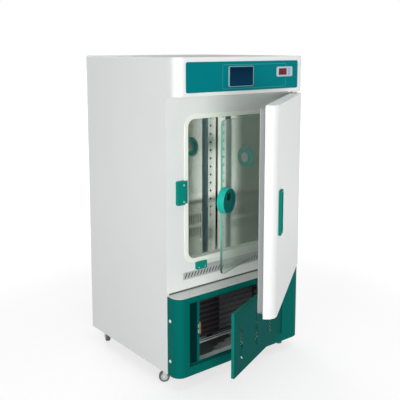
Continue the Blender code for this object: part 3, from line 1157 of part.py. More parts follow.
def make_condenser():
    """Serpentine condenser between two end plates on a pale foot rail."""
    centre_x = (CONDENSER_LOW_X + CONDENSER_HIGH_X) / 2
    half = (CONDENSER_HIGH_X - CONDENSER_LOW_X) / 2
    y = FRAME_Y + CONDENSER_FACE + CONDENSER_DEPTH / 2
    rows = int((SERVICE_HIGH_Z - CONDENSER_TOP_MARGIN - CONDENSER_LOW_Z) / CONDENSER_PITCH) + 1
    points = serpentine(half, CONDENSER_LOW_Z, CONDENSER_PITCH, rows, y, centre_x)
    condenser = tube("condenser", points, CONDENSER_TUBE_RADIUS, BLACK_PAINT)
    top = CONDENSER_LOW_Z + (rows - 1) * CONDENSER_PITCH + CONDENSER_MARGIN
    foot = PAN_SHEET + SEAT
    plates = (CONDENSER_LOW_X + CONDENSER_PLATE_INSET, CONDENSER_HIGH_X - CONDENSER_PLATE_INSET)
    for x in plates:
        join(condenser, box((x - CONDENSER_PLATE / 2, y - CONDENSER_DEPTH / 2, foot),
                            (x + CONDENSER_PLATE / 2, y + CONDENSER_DEPTH / 2, top)))
    rail_y, rail_z = y - CONDENSER_DEPTH / 2, CONDENSER_LOW_Z - CONDENSER_MARGIN
    join(condenser, box((plates[0], rail_y, rail_z),
                        (plates[1], rail_y + CONDENSER_PLATE, rail_z + CONDENSER_RAIL)))
    return condenser


def make_condenser_fan():
    """Fan that draws air through the condenser, on a motor with a footed bracket."""
    front = FRAME_Y + CONDENSER_FACE + CONDENSER_DEPTH + COOLING_FAN_GAP
    motor_front = front + COOLING_FAN_WIDTH + COOLING_MOTOR_GAP
    x, z = COOLING_FAN_X, COOLING_FAN_Z
    can = rod((x, motor_front, z), (x, motor_front + COOLING_MOTOR_LENGTH, z), COOLING_MOTOR_RADIUS, 24)
    motor = part("condenser_motor", can, BLACK_PAINT, smooth=True)
    join(motor, rod((x, front, z), (x, motor_front + MM, z), SHAFT_RADIUS, 12))
    bracket_y, foot = motor_front + COOLING_MOTOR_LENGTH / 2, PAN_SHEET + SEAT
    low = (x - COOLING_BRACKET_HALF, bracket_y, foot)
    high_x = x + COOLING_BRACKET_HALF
    join(motor, box(low, (high_x, bracket_y + COOLING_BRACKET_SHEET, z)),
         box(low, (high_x, bracket_y + COOLING_BRACKET_FOOT, foot + COOLING_BRACKET_SHEET)))
    make_impeller("condenser_fan", (x, front + COOLING_FAN_WIDTH / 2 + MM, z), COOLING_FAN_RADIUS,
                  COOLING_FAN_WIDTH, COOLING_HUB_RADIUS, COOLING_BLADES, GREY_PLASTIC)


def make_compressor():
    """Hermetic compressor: a domed pot on a footed base plate."""
    radius, low = COMPRESSOR_RADIUS, PAN_SHEET + SEAT
    body_low = low + COMPRESSOR_FOOT_HEIGHT
    top = body_low + COMPRESSOR_HEIGHT
    dome = [(0, top), (0.55 * radius, top - 0.07 * radius), (0.86 * radius, top - 0.27 * radius),
            (radius, top - 0.6 * radius)]
    seam = [(radius, body_low + 0.72 * radius), (1.05 * radius, body_low + 0.7 * radius),
            (1.05 * radius, body_low + 0.6 * radius), (0.97 * radius, body_low + 0.55 * radius)]
    bowl = [(0.85 * radius, body_low + 0.15 * radius), (0.5 * radius, body_low), (0, body_low)]
    y = FRAME_Y + COMPRESSOR_DEPTH
    pot = turned("compressor", dome + seam + bowl, (COMPRESSOR_X, y, 0), BLACK_PAINT, 20)
    wide, deep, thick = COMPRESSOR_BASE
    join(pot, box((COMPRESSOR_X - wide, y - deep, body_low - thick),
                  (COMPRESSOR_X + wide, y + deep, body_low + thick)))
    for x_side in (-1, 1):
        for y_side in (-1, 1):
            foot = (COMPRESSOR_X + x_side * COMPRESSOR_FEET[0], y + y_side * COMPRESSOR_FEET[1])
            join(pot, rod((*foot, low), (*foot, body_low), COMPRESSOR_FOOT_RADIUS, 12))
    low_z, high_z = [body_low + edge for edge in COMPRESSOR_BOX_SPAN]
    return join(pot, box((COMPRESSOR_X + 0.7 * radius, y - COMPRESSOR_BOX_HALF, low_z),
                         (COMPRESSOR_X + radius + COMPRESSOR_BOX_PROUD, y + COMPRESSOR_BOX_HALF, high_z)))


def make_drip_tray():
    """Shallow tray that catches the water that drains from the evaporator."""
    low_z = PAN_SHEET + SEAT
    low = (TRAY_LOW_X, FRAME_Y + TRAY_FRONT, low_z)
    shape = tray(low, (TRAY_HIGH_X, FRAME_Y + TRAY_BACK, low_z + TRAY_HEIGHT), (0, 0, 1))
    return walls(part("drip_tray", shape, PALE_PLASTIC), TRAY_SHEET)


def make_caster(place, x, y, turn):
    """Swivel caster: fixed plate with a king pin, a bent fork and a wheel on its axle."""
    half, crown = CASTER_PLATE_HALF, -SEAT - CASTER_PLATE_THICKNESS
    plate_box = box((x - half, y - half, crown), (x + half, y + half, -SEAT))
    plate = part("caster_plate_" + place, round_edges(plate_box, "z", CASTER_PLATE_RADIUS, 3), ZINC)
    join(plate, rod((x, y, crown + MM), (x, y, crown - KING_PIN_LENGTH), KING_PIN_RADIUS, 12))
    axle_z, fork_top = WHEEL_RADIUS - CASTER_DROP, crown - SEAT
    inner = WHEEL_WIDTH / 2 + 2 * SEAT
    outer = inner + FORK_SHEET
    fork_box = box((-FORK_HEEL, -outer, axle_z - FORK_CHEEK_HALF),
                   (CASTER_TRAIL + FORK_CHEEK_HALF, outer, fork_top))
    round_edges(fork_box, "y", FORK_RADIUS, 3, lambda middle: middle.z > axle_z)
    fork = part("caster_fork_" + place, fork_box, ZINC)
    low = -CASTER_DROP
    between = box((-2 * FORK_HEEL, -inner, low), (2 * CASTER_TRAIL, inner, fork_top - FORK_SHEET))
    heel = box((-2 * FORK_HEEL, -2 * outer, low),
               (CASTER_TRAIL - FORK_CHEEK_BACK, 2 * outer, fork_top - FORK_CROWN_HEIGHT))
    pin_hole = rod((0, 0, fork_top - 2 * PAST), (0, 0, fork_top + PAST), KING_PIN_RADIUS + SEAT, 12)
    cut(fork, between, heel, pin_hole)
    end = outer + MM
    join(fork, rod((CASTER_TRAIL, -end, axle_z), (CASTER_TRAIL, end, axle_z), AXLE_RADIUS, 12))
    tread = rod((0, -WHEEL_WIDTH / 2, 0), (0, WHEEL_WIDTH / 2, 0), WHEEL_RADIUS, 24)
    rims = [edge for edge in tread.edges if abs(edge.verts[0].co.y - edge.verts[1].co.y) < SEAT]
    bmesh.ops.bevel(tread, geom=rims, offset=TREAD_RADIUS, segments=2, profile=0.5, affect="EDGES",
                    material=-1)
    wheel = part("caster_wheel_" + place, tread, TYRE, smooth=True)
    cut(wheel, rod((0, -WHEEL_WIDTH, 0), (0, WHEEL_WIDTH, 0), AXLE_RADIUS + SEAT, 12))
    fork.location = (x, y, 0)
    fork.rotation_euler.z = math.radians(turn)
    wheel.parent = fork
    wheel.location = (CASTER_TRAIL, 0, axle_z)


make_outer_shell()
make_rear_cover()
make_floor_pan()
make_header()
make_display()
make_thermostat()
make_front_frame()
make_breaker_strip()
make_vent_strip()
make_insulation()
make_liner()
make_duct_panel()
make_shelf_strip("shelf_strip_left", -1)
make_shelf_strip("shelf_strip_right", 1)
make_evaporator()
make_heater()
make_probe()
make_circulation_fan()
make_port()
make_glass_catch()
make_glass_rest()
make_glass_hinge("glass_hinge_top", 1)
make_glass_hinge("glass_hinge_bottom", -1)
make_glass_door()
make_outer_door()
make_door_hinge("door_hinge_top", 1)
make_door_hinge("door_hinge_bottom", -1)
make_base()
make_vent_door()
make_vent_catch()
make_condenser()
make_condenser_fan()
make_compressor()
make_drip_tray()
for caster_place, caster_turn in CASTER_TURNS.items():
    caster_x = CASTER_X if "right" in caster_place else -CASTER_X
    caster_y = FRAME_Y + CASTER_FRONT if "front" in caster_place else BACK_Y - CASTER_REAR
    make_caster(caster_place, caster_x, caster_y, caster_turn)
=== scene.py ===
"""Looks of the refrigerated incubator: its finishes, softened edges, screws and
fine fittings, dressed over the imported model.  Metres, in the model's own frame."""
import math

import bmesh
import bpy
from mathutils import Matrix, Vector


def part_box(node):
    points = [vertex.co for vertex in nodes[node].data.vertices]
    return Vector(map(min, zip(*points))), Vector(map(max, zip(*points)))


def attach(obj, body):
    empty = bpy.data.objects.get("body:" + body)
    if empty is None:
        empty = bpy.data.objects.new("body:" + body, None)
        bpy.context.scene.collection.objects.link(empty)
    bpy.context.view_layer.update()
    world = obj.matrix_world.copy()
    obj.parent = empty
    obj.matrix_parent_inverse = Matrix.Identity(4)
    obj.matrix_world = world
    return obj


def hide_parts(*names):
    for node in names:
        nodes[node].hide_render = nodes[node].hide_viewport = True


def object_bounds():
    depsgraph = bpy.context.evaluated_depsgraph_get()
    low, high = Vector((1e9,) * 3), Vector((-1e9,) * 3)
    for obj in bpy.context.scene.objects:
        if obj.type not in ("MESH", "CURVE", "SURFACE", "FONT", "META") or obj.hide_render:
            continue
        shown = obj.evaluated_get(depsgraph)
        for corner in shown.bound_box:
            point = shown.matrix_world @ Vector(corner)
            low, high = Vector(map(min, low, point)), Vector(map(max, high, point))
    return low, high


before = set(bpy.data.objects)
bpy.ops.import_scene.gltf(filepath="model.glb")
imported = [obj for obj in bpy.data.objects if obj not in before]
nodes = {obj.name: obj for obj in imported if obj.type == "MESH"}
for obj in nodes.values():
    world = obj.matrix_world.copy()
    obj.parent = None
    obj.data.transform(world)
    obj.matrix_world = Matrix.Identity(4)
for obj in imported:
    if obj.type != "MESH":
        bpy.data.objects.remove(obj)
cad_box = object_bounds()
MM = 0.001

# Studio
# A white floor that runs out under a white surround, with a wide soft lamp in front, weaker
# ones at both sides, behind and overhead.  The floor keeps the object's shadow, and the
# camera stands where the photographer stood.
FLOOR_Z = cad_box[0][2]
FLOOR_REACH = 30.0
FLOOR_NEAR = 0.8
FLOOR_FAR = 2.6
FLOOR_GLOW_NEAR = 0.66            # what the eye sees of the floor by itself, under the object
FLOOR_GLOW_FAR = 1.0              # and far from it, so that it meets the surround
FLOOR_SHADE = (0.4, 0.4, 0.4, 1)
FLOOR_RETURN = (0.38, 0.38, 0.38, 1)
SURROUND_LEVEL = 0.32
LAMPS = {
    "front_softbox": ((-1.6, -4.1, 0.7), (0.0, -0.2, 0.8), 1.5, 84.0),
    "right_softbox": ((3.2, -1.9, 1.8), (0.1, -0.2, 0.6), 2.2, 15.0),
    "left_softbox": ((-3.5, -1.5, 1.3), (0.0, 0.0, 0.9), 2.0, 54.0),
    "rear_softbox": ((1.0, 4.0, 1.7), (0.0, 0.0, 0.6), 2.2, 60.0),
    "overhead": ((0.2, -0.7, 3.6), (0.0, -0.1, 0.6), 2.6, 28.0),
}
CAMERA_PLACE = (-1.6126, -2.0933, 1.1638)
CAMERA_TURN = math.radians(-38.536)
CAMERA_TILT = math.radians(8.15)
CAMERA_LENS = 59.72
CAMERA_SHIFT = -0.145


def start_material(name):
    """A new material, its shader, and the calls that add and join its nodes."""
    material = bpy.data.materials.new(name)
    material.use_nodes = True
    tree = material.node_tree
    return material, tree.nodes["Principled BSDF"], tree.nodes.new, tree.links.new


def fill(node, values):
    """Set a node's own sockets, each by its name or number."""
    for socket, value in values.items():
        node.inputs[socket].default_value = value


def seen_ray(tree):
    """1 for what the eye meets straight on, in a reflection or through glass, else 0."""
    light_path = tree.nodes.new("ShaderNodeLightPath")
    seen = tree.nodes.new("ShaderNodeMath")
    seen.operation = "MAXIMUM"
    seen_or_through = tree.nodes.new("ShaderNodeMath")
    seen_or_through.operation = "MAXIMUM"
    tree.links.new(light_path.outputs["Is Camera Ray"], seen.inputs[0])
    tree.links.new(light_path.outputs["Is Glossy Ray"], seen.inputs[1])
    tree.links.new(seen.outputs[0], seen_or_through.inputs[0])
    tree.links.new(light_path.outputs["Is Transmission Ray"], seen_or_through.inputs[1])
    return seen_or_through.outputs[0]


def floor_material():
    """White to the eye with a soft shadow, and plain matt white to the light that it returns."""
    material, shader, new, link = start_material("studio_floor")
    tree = material.node_tree
    tree.nodes.remove(shader)
    place = new("ShaderNodeTexCoord")
    away = new("ShaderNodeVectorMath")
    away.operation = "LENGTH"
    glow = new("ShaderNodeMapRange")
    glow.interpolation_type = "SMOOTHSTEP"
    fill(glow, {"From Min": FLOOR_NEAR, "From Max": FLOOR_FAR,
                "To Min": FLOOR_GLOW_NEAR, "To Max": FLOOR_GLOW_FAR})
    lit = new("ShaderNodeEmission")
    shaded = new("ShaderNodeBsdfDiffuse")
    fill(shaded, {"Color": FLOOR_SHADE})
    shown = new("ShaderNodeAddShader")
    returned = new("ShaderNodeBsdfDiffuse")
    fill(returned, {"Color": FLOOR_RETURN})
    either = new("ShaderNodeMixShader")
    link(place.outputs["Object"], away.inputs[0])
    link(away.outputs["Value"], glow.inputs["Value"])
    link(glow.outputs["Result"], lit.inputs["Strength"])
    link(lit.outputs[0], shown.inputs[0])
    link(shaded.outputs[0], shown.inputs[1])
    link(seen_ray(tree), either.inputs["Fac"])
    link(returned.outputs[0], either.inputs[1])
    link(shown.outputs[0], either.inputs[2])
    link(either.outputs[0], tree.nodes["Material Output"].inputs["Surface"])
    return material


floor_shape = bmesh.new()
bmesh.ops.create_grid(floor_shape, x_segments=1, y_segments=1, size=FLOOR_REACH,
                      matrix=Matrix.Translation((0, 0, FLOOR_Z)))
floor_mesh = bpy.data.meshes.new("studio_floor")
floor_shape.to_mesh(floor_mesh)
floor_shape.free()
floor_mesh.materials.append(floor_material())
studio_floor = bpy.data.objects.new("studio_floor", floor_mesh)
bpy.context.scene.collection.objects.link(studio_floor)

world = bpy.data.worlds.new("studio_surround")
bpy.context.scene.world = world
world.use_nodes = True
surround = world.node_tree.nodes["Background"]
fill(surround, {"Color": (1, 1, 1, 1)})
level = world.node_tree.nodes.new("ShaderNodeMapRange")
fill(level, {"To Min": SURROUND_LEVEL, "To Max": 1.0})
world.node_tree.links.new(seen_ray(world.node_tree), level.inputs["Value"])
world.node_tree.links.new(level.outputs["Result"], surround.inputs["Strength"])

for lamp_name, (place, target, size, power) in LAMPS.items():
    light = bpy.data.lights.new(lamp_name, "AREA")
    light.shape = "SQUARE"
    light.size = size
    light.energy = power
    lamp = bpy.data.objects.new(lamp_name, light)
    bpy.context.scene.collection.objects.link(lamp)
    lamp.location = place
    lamp.rotation_euler = (Vector(target) - Vector(place)).to_track_quat("-Z", "Y").to_euler()

camera_data = bpy.data.cameras.new("photographers_view")
camera_data.lens = CAMERA_LENS
camera_data.sensor_width = 36
camera_data.shift_y = CAMERA_SHIFT
camera = bpy.data.objects.new("photographers_view", camera_data)
bpy.context.scene.collection.objects.link(camera)
camera.location = CAMERA_PLACE
camera.rotation_euler = (math.radians(90) - CAMERA_TILT, 0, CAMERA_TURN)
bpy.context.scene.camera = camera
bpy.context.scene.view_settings.view_transform = "Standard"

# Cabinet skin
# The shell is one sheet of white powder-coated steel folded over both sides and the top, with
# a crease pressed into its side.  The rear cover is a second sheet screwed into it, and the
# folded pan under them carries the casters.
WHITE = (0.80, 0.82, 0.81)
COAT_PEEL = 260.0                 # waves of orange peel to the metre
SHARP = math.radians(32)


def surface_grain():
    """Shader group: faint colour drift, roughness drift and a fine height."""
    group = bpy.data.node_groups.new("surface_grain", "ShaderNodeTree")
    for name, kind, start in (("Colour", "NodeSocketColor", (0.8, 0.8, 0.8, 1)),
                              ("Drift", "NodeSocketFloat", 0.05),
                              ("Roughness", "NodeSocketFloat", 0.4),
                              ("Roughness Drift", "NodeSocketFloat", 0.06),
                              ("Grain", "NodeSocketFloat", 300.0)):
        socket = group.interface.new_socket(name=name, in_out="INPUT", socket_type=kind)
        socket.default_value = start
    for name, kind in (("Colour", "NodeSocketColor"), ("Roughness", "NodeSocketFloat"),
                       ("Height", "NodeSocketFloat")):
        group.interface.new_socket(name=name, in_out="OUTPUT", socket_type=kind)
    new, link = group.nodes.new, group.links.new
    entry, leave = new("NodeGroupInput"), new("NodeGroupOutput")
    place = new("ShaderNodeTexCoord")
    broad = new("ShaderNodeTexNoise")
    fill(broad, {"Scale": 5.0, "Detail": 4.0})
    fine = new("ShaderNodeTexNoise")
    fill(fine, {"Detail": 3.0})
    link(place.outputs["Object"], broad.inputs["Vector"])
    link(place.outputs["Object"], fine.inputs["Vector"])
    link(entry.outputs["Grain"], fine.inputs["Scale"])
    centred = new("ShaderNodeMath")
    centred.operation = "SUBTRACT"
    fill(centred, {1: 0.5})
    link(broad.outputs["Fac"], centred.inputs[0])
    drift = new("ShaderNodeMath")
    drift.operation = "MULTIPLY_ADD"
    fill(drift, {2: 1.0})
    link(centred.outputs[0], drift.inputs[0])
    link(entry.outputs["Drift"], drift.inputs[1])
    shade = new("ShaderNodeVectorMath")
    shade.operation = "SCALE"
    link(entry.outputs["Colour"], shade.inputs[0])
    link(drift.outputs[0], shade.inputs["Scale"])
    rough = new("ShaderNodeMath")
    rough.operation = "MULTIPLY_ADD"
    link(centred.outputs[0], rough.inputs[0])
    link(entry.outputs["Roughness Drift"], rough.inputs[1])
    link(entry.outputs["Roughness"], rough.inputs[2])
    link(shade.outputs["Vector"], leave.inputs["Colour"])
    link(rough.outputs[0], leave.inputs["Roughness"])
    link(fine.outputs["Fac"], leave.inputs["Height"])
    return group


GRAIN = surface_grain()


def coated(name, colour, roughness, grain=COAT_PEEL, height=0.02 * MM, drift=0.05, metallic=0.0,
           shine=0.5):
    """A painted, moulded or plated finish with its fine surface."""
    material, shader, new, link = start_material(name)
    material.diffuse_color = (*colour, 1)
    fill(shader, {"Metallic": metallic, "Specular IOR Level": shine})
    detail = new("ShaderNodeGroup")
    detail.node_tree = GRAIN
    fill(detail, {"Colour": (*colour, 1), "Drift": drift, "Roughness": roughness, "Grain": grain})
    relief = new("ShaderNodeBump")
    fill(relief, {"Distance": height})
    link(detail.outputs["Colour"], shader.inputs["Base Color"])
    link(detail.outputs["Roughness"], shader.inputs["Roughness"])
    link(detail.outputs["Height"], relief.inputs["Height"])
    link(relief.outputs["Normal"], shader.inputs["Normal"])
    return material


def piece(name, shape, body, material, smooth=True):
    """A finished piece from a bmesh, riding on its body."""
    mesh = bpy.data.meshes.new(name)
    shape.to_mesh(mesh)
    shape.free()
    mesh.materials.append(material)
    made = bpy.data.objects.new(name, mesh)
    bpy.context.scene.collection.objects.link(made)
    if smooth:
        mesh.shade_smooth()
        mesh.set_sharp_from_angle(angle=SHARP)
        level_faces = made.modifiers.new("flat_faces_stay_flat", "WEIGHTED_NORMAL")
        level_faces.keep_sharp = True
    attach(made, body)
    return made


def whole_faces(node):
    """A copy of a solid with its loose triangles joined and its flat faces in one piece."""
    shape = bmesh.new()
    shape.from_mesh(nodes[node].data)
    bmesh.ops.remove_doubles(shape, verts=shape.verts, dist=0.02 * MM)
    bmesh.ops.dissolve_limit(shape, angle_limit=math.radians(0.5), verts=shape.verts, edges=shape.edges,
                             delimit=set())
    return shape


def softened(node, body, material, radius=0.5 * MM, segments=2):
    """The real piece's rolled edges in place of a solid's sharp ones."""
    shape = whole_faces(node)
    sharp = [edge for edge in shape.edges
             if len(edge.link_faces) == 2 and edge.calc_face_angle() > SHARP]
    if radius:
        bmesh.ops.bevel(shape, geom=sharp, offset=radius, offset_type="OFFSET", segments=segments,
                        profile=0.5, affect="EDGES", material=-1, clamp_overlap=False)
    made = piece(node + "_finished", shape, body, material)
    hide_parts(node)
    return made


def two_tone(made, second, belongs):
    """Give the faces that a test picks a second finish."""
    made.data.materials.append(second)
    for face in made.data.polygons:
        if belongs(face):
            face.material_index = len(made.data.materials) - 1


WHITE_COAT = coated("white_powder_coat", WHITE, 0.34)
# The top faces of the shell and the header are painted grey: painted shade, as the light hardly reaches the
# top.
TOP_PAINTED_SHADE = coated("grey_top_painted_shade", (0.46, 0.44, 0.45), 0.6, drift=0.15)
ROOF_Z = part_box("outer_shell")[1].z - MM    # faces above this belong to the cabinet's top
shell = softened("outer_shell", "cabinet", WHITE_COAT, 0.6 * MM)
two_tone(shell, TOP_PAINTED_SHADE, lambda face: face.normal.z > 0.9 and face.center.z > ROOF_Z)
softened("rear_cover", "cabinet", WHITE_COAT)
softened("floor_pan", "cabinet", WHITE_COAT)


def cross_head(radius, height):
    """The head of a cross-recessed screw: a domed disc with a plus pressed into it."""
    head = bmesh.new()
    cells = 7
    bmesh.ops.create_grid(head, x_segments=cells, y_segments=cells, size=1.0)
    middle = 1.01 / cells
    reach = 1.0 - 2.0 / cells
    recess = []
    for face in head.faces:
        x, y, _ = face.calc_center_median()
        if (abs(x) < middle and abs(y) < reach) or (abs(y) < middle and abs(x) < reach):
            recess.append(face)
    for vert in head.verts:
        x, y = vert.co.x, vert.co.y
        flat_x = x * math.sqrt(1 - y * y / 2)
        flat_y = y * math.sqrt(1 - x * x / 2)
        rise = 1 - 0.45 * (flat_x ** 2 + flat_y ** 2)
        vert.co = (flat_x * radius, flat_y * radius, rise * height)
    rim = [edge for edge in head.edges if edge.is_boundary]
    skirt = bmesh.ops.extrude_edge_only(head, edges=rim)["geom"]
    for vert in skirt:
        if isinstance(vert, bmesh.types.BMVert):
            vert.co.z = 0.0
    sunk = bmesh.ops.extrude_face_region(head, geom=recess)["geom"]
    low = [vert for vert in sunk if isinstance(vert, bmesh.types.BMVert)]
    bmesh.ops.delete(head, geom=recess, context="FACES")
    bmesh.ops.translate(head, verts=low, vec=(0, 0, -0.55 * height))
    bmesh.ops.holes_fill(head, edges=[edge for edge in head.edges if edge.is_boundary])
    bmesh.ops.recalc_face_normals(head, faces=head.faces)
    return head


def screws(name, body, places, facing, radius, material, dome=0.55):
    """Several cross-head screws that look one way, as one piece; dome is their height to a radius."""
    head = cross_head(radius, dome * radius)
    single = bpy.data.meshes.new("single_head")
    head.to_mesh(single)
    head.free()
    group = bmesh.new()
    look = Vector(facing).to_track_quat("Z", "Y").to_matrix().to_4x4()
    for index, place in enumerate(places):
        before = set(group.verts)
        group.from_mesh(single)
        spin = Matrix.Rotation(0.7 + 1.3 * index, 4, "Z")
        new = [vert for vert in group.verts if vert not in before]
        bmesh.ops.transform(group, matrix=Matrix.Translation(place) @ look @ spin, verts=new)
    bpy.data.meshes.remove(single)
    return piece(name, group, body, material)


ZINC = coated("zinc_plate", (0.55, 0.56, 0.57), 0.32, grain=900.0, height=0.01 * MM, drift=0.2, metallic=1.0)
BACK_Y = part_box("rear_cover")[1].y
half_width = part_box("outer_shell")[1].x
COVER_SCREW_INSET = 9 * MM
COVER_SCREW_ROWS = (20 * MM, 300 * MM, 600 * MM, 900 * MM, 1112 * MM)
screws("rear_cover_screws", "cabinet",
       [(side * (half_width - COVER_SCREW_INSET), BACK_Y, z) for side in (-1, 1) for z in COVER_SCREW_ROWS],
       (0, 1, 0), 3.6 * MM, ZINC)


def slab(low, high):
    """A closed block between two corners."""
    shape = bmesh.new()
    size = [b - a for a, b in zip(low, high)]
    middle = [(a + b) / 2 for a, b in zip(low, high)]
    bmesh.ops.create_cube(shape, size=1, matrix=Matrix.Translation(middle) @ Matrix.Diagonal((*size, 1)))
    return shape


CREASE_LOW = Vector((-half_width - 0.25 * MM, -170 * MM, 999.4 * MM))
CREASE_HIGH = Vector((-half_width + 0.2 * MM, 138 * MM, 1000.6 * MM))
crease = slab(CREASE_LOW, CREASE_HIGH)
piece("side_pressed_crease", crease, "cabinet", WHITE_COAT, smooth=False)

# Header
# A folded white nose with a teal printed plate let into its face.  A thin pale line is
# printed on the plate, round the display and the thermostat.
TEAL_PLATE = coated("teal_printed_plate", (0.0, 0.19, 0.215), 0.4, grain=700.0, height=0.006 * MM, drift=0.06,
                    shine=0.03)
header = softened("header_housing", "cabinet", WHITE_COAT, 0.8 * MM)
# The header's top faces take the same grey painted shade.
two_tone(header, TOP_PAINTED_SHADE, lambda face: face.normal.z > 0.9 and face.center.z > ROOF_Z)
softened("control_panel", "cabinet", TEAL_PLATE, 0.4 * MM)


CORNER_STEPS = 6


def rounded_plate(low, high, radius):
    """A block whose four edges that run from front to back are rounded."""
    shape = slab(low, high)
    edges = []
    for edge in shape.edges:
        run = edge.verts[1].co - edge.verts[0].co
        if abs(run.y) > 0.99 * run.length:
            edges.append(edge)
    bmesh.ops.bevel(shape, geom=edges, offset=radius, segments=CORNER_STEPS, profile=0.5, affect="EDGES",
                    material=-1)
    return shape


def window_frame(low, high, width, radius):
    """A flat ring round a rectangle in the XZ plane; low and high are its outer corners."""
    shape = rounded_plate(low, high, radius)
    shape.normal_update()
    front = [face for face in shape.faces if face.normal.y < -0.99]
    back = [face for face in shape.faces if face.normal.y > 0.99]
    bmesh.ops.inset_region(shape, faces=front, thickness=width, use_even_offset=True)
    bmesh.ops.inset_region(shape, faces=back, thickness=width, use_even_offset=True)
    loops = [edge for face in front + back for edge in face.edges]
    bmesh.ops.delete(shape, geom=front + back, context="FACES_ONLY")
    bmesh.ops.bridge_loops(shape, edges=loops)
    bmesh.ops.recalc_face_normals(shape, faces=shape.faces)
    return shape


plate_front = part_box("control_panel")[0].y
LINE_LOW = (-109 * MM, 1018 * MM)
LINE_HIGH = (203 * MM, 1103 * MM)
LINE_WIDTH = 0.9 * MM
LINE_CORNER = 4 * MM
INK_PROUD = 0.12 * MM
INK_CLEAR = 0.01 * MM
PALE_LINE = coated("pale_teal_ink", (0.06, 0.36, 0.36), 0.4, height=0.0)
panel_line = window_frame((LINE_LOW[0], plate_front - INK_PROUD, LINE_LOW[1]),
                          (LINE_HIGH[0], plate_front - INK_CLEAR, LINE_HIGH[1]), LINE_WIDTH, LINE_CORNER)
piece("panel_printed_line", panel_line, "cabinet", PALE_LINE, smooth=False)

# Touch display
# Dark glass in a pale blue moulded frame, let through a cut-out in the header's plate.  A
# dark blue border is printed round the glass.
BEZEL_BLUE = coated("pale_blue_bezel", (0.24, 0.44, 0.49), 0.36, grain=1500.0, height=0.01 * MM, shine=0.2)
softened("display_bezel", "cabinet", BEZEL_BLUE, 0.5 * MM)


def screen_material():
    """Dark blue display glass with a faintly lit picture area behind it."""
    material, shader, new, link = start_material("display_screen")
    fill(shader, {"Roughness": 0.3, "Specular IOR Level": 0.02, "Emission Strength": 0.3})
    place = new("ShaderNodeTexCoord")
    split = new("ShaderNodeSeparateXYZ")
    fade = new("ShaderNodeMapRange")
    low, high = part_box("display_glass")
    fill(fade, {"From Min": low.z, "From Max": high.z})
    tone = new("ShaderNodeMix")
    tone.data_type = "RGBA"
    fill(tone, {"A": (0.002, 0.030, 0.070, 1), "B": (0.001, 0.012, 0.032, 1)})
    link(place.outputs["Object"], split.inputs["Vector"])
    link(split.outputs["Z"], fade.inputs["Value"])
    link(fade.outputs["Result"], tone.inputs["Factor"])
    link(tone.outputs["Result"], shader.inputs["Base Color"])
    link(tone.outputs["Result"], shader.inputs["Emission Color"])
    return material


softened("display_glass", "cabinet", screen_material(), 0.3 * MM)
glass_low, glass_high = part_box("display_glass")
MASK_REACH = 3.6 * MM             # printed border past the glass, left and right
MASK_RISE = 0.8 * MM              # and past it above and below
MASK_PROUD = 0.25 * MM
MASK_CLEAR = 0.02 * MM
MASK_WIDTH = 5 * MM
MASK_CORNER = 3 * MM
MASK_BLUE = coated("dark_blue_screen_border", (0.003, 0.03, 0.06), 0.4, height=0.0, shine=0.02)
mask = window_frame((glass_low.x - MASK_REACH, glass_low.y - MASK_PROUD, glass_low.z - MASK_RISE),
                    (glass_high.x + MASK_REACH, glass_low.y - MASK_CLEAR, glass_high.z + MASK_RISE),
                    MASK_WIDTH, MASK_CORNER)
piece("screen_printed_border", mask, "cabinet", MASK_BLUE, smooth=False)

# Thermostat
# A small pale moulded case in the plate's right end, with a red window in which three
# figures of lit bars show, and three blue rubber keys beside it.
PALE_MOULDING = coated("pale_blue_grey_moulding", (0.42, 0.53, 0.56), 0.36, grain=1500.0, height=0.01 * MM)
softened("thermostat_case", "cabinet", PALE_MOULDING, 0.5 * MM)
KEY_BLUE = coated("blue_rubber_key", (0.16, 0.44, 0.62), 0.5, grain=2500.0, height=0.01 * MM)
for key in ("raise_button", "set_button", "lower_button"):
    softened(key, key, KEY_BLUE, 0.5 * MM)

case_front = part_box("thermostat_case")[0].y
WINDOW_LOW = (161 * MM, 1061 * MM)
WINDOW_HIGH = (202 * MM, 1085 * MM)
WINDOW_PROUD = 0.35 * MM
WINDOW_SUNK = 0.5 * MM
WINDOW_CORNER = 2 * MM
READOUT_TINT = coated("red_readout_window", (0.075, 0.003, 0.012), 0.2, height=0.0, shine=0.15)
window = rounded_plate((WINDOW_LOW[0], case_front - WINDOW_PROUD, WINDOW_LOW[1]),
                       (WINDOW_HIGH[0], case_front + WINDOW_SUNK, WINDOW_HIGH[1]), WINDOW_CORNER)
piece("thermostat_window", window, "cabinet", READOUT_TINT)

SEGMENTS = {"0": "abcdef", "3": "abcdg", "7": "abc"}
READING = "370"
DIGIT_WIDTH = 6.4 * MM
DIGIT_HEIGHT = 13 * MM
DIGIT_PITCH = 11 * MM
SEGMENT_WIDTH = 1.2 * MM
SEGMENT_PROUD = 0.46 * MM         # in front of the case
SEGMENT_DEPTH = 0.1 * MM


def digit_bars(figure, x, z, front):
    """The lit bars of one seven-bar figure."""
    wide, tall, bar = DIGIT_WIDTH / 2, DIGIT_HEIGHT / 2, SEGMENT_WIDTH / 2
    flat = {"a": tall, "g": 0.0, "d": -tall}
    upright = {"b": (wide, tall / 2), "c": (wide, -tall / 2), "f": (-wide, tall / 2), "e": (-wide, -tall / 2)}
    bars = []
    for name in SEGMENTS[figure]:
        if name in flat:
            bars.append(slab((x - wide + bar, front, z + flat[name] - bar),
                             (x + wide - bar, front + SEGMENT_DEPTH, z + flat[name] + bar)))
        else:
            side, middle = upright[name]
            bars.append(slab((x + side - bar, front, z + middle - tall / 2 + bar),
                             (x + side + bar, front + SEGMENT_DEPTH, z + middle + tall / 2 - bar)))
    return bars


def merged(shapes):
    """Several closed shapes in one mesh."""
    whole = bmesh.new()
    for shape in shapes:
        held = bpy.data.meshes.new("held")
        shape.to_mesh(held)
        shape.free()
        whole.from_mesh(held)
        bpy.data.meshes.remove(held)
    return whole


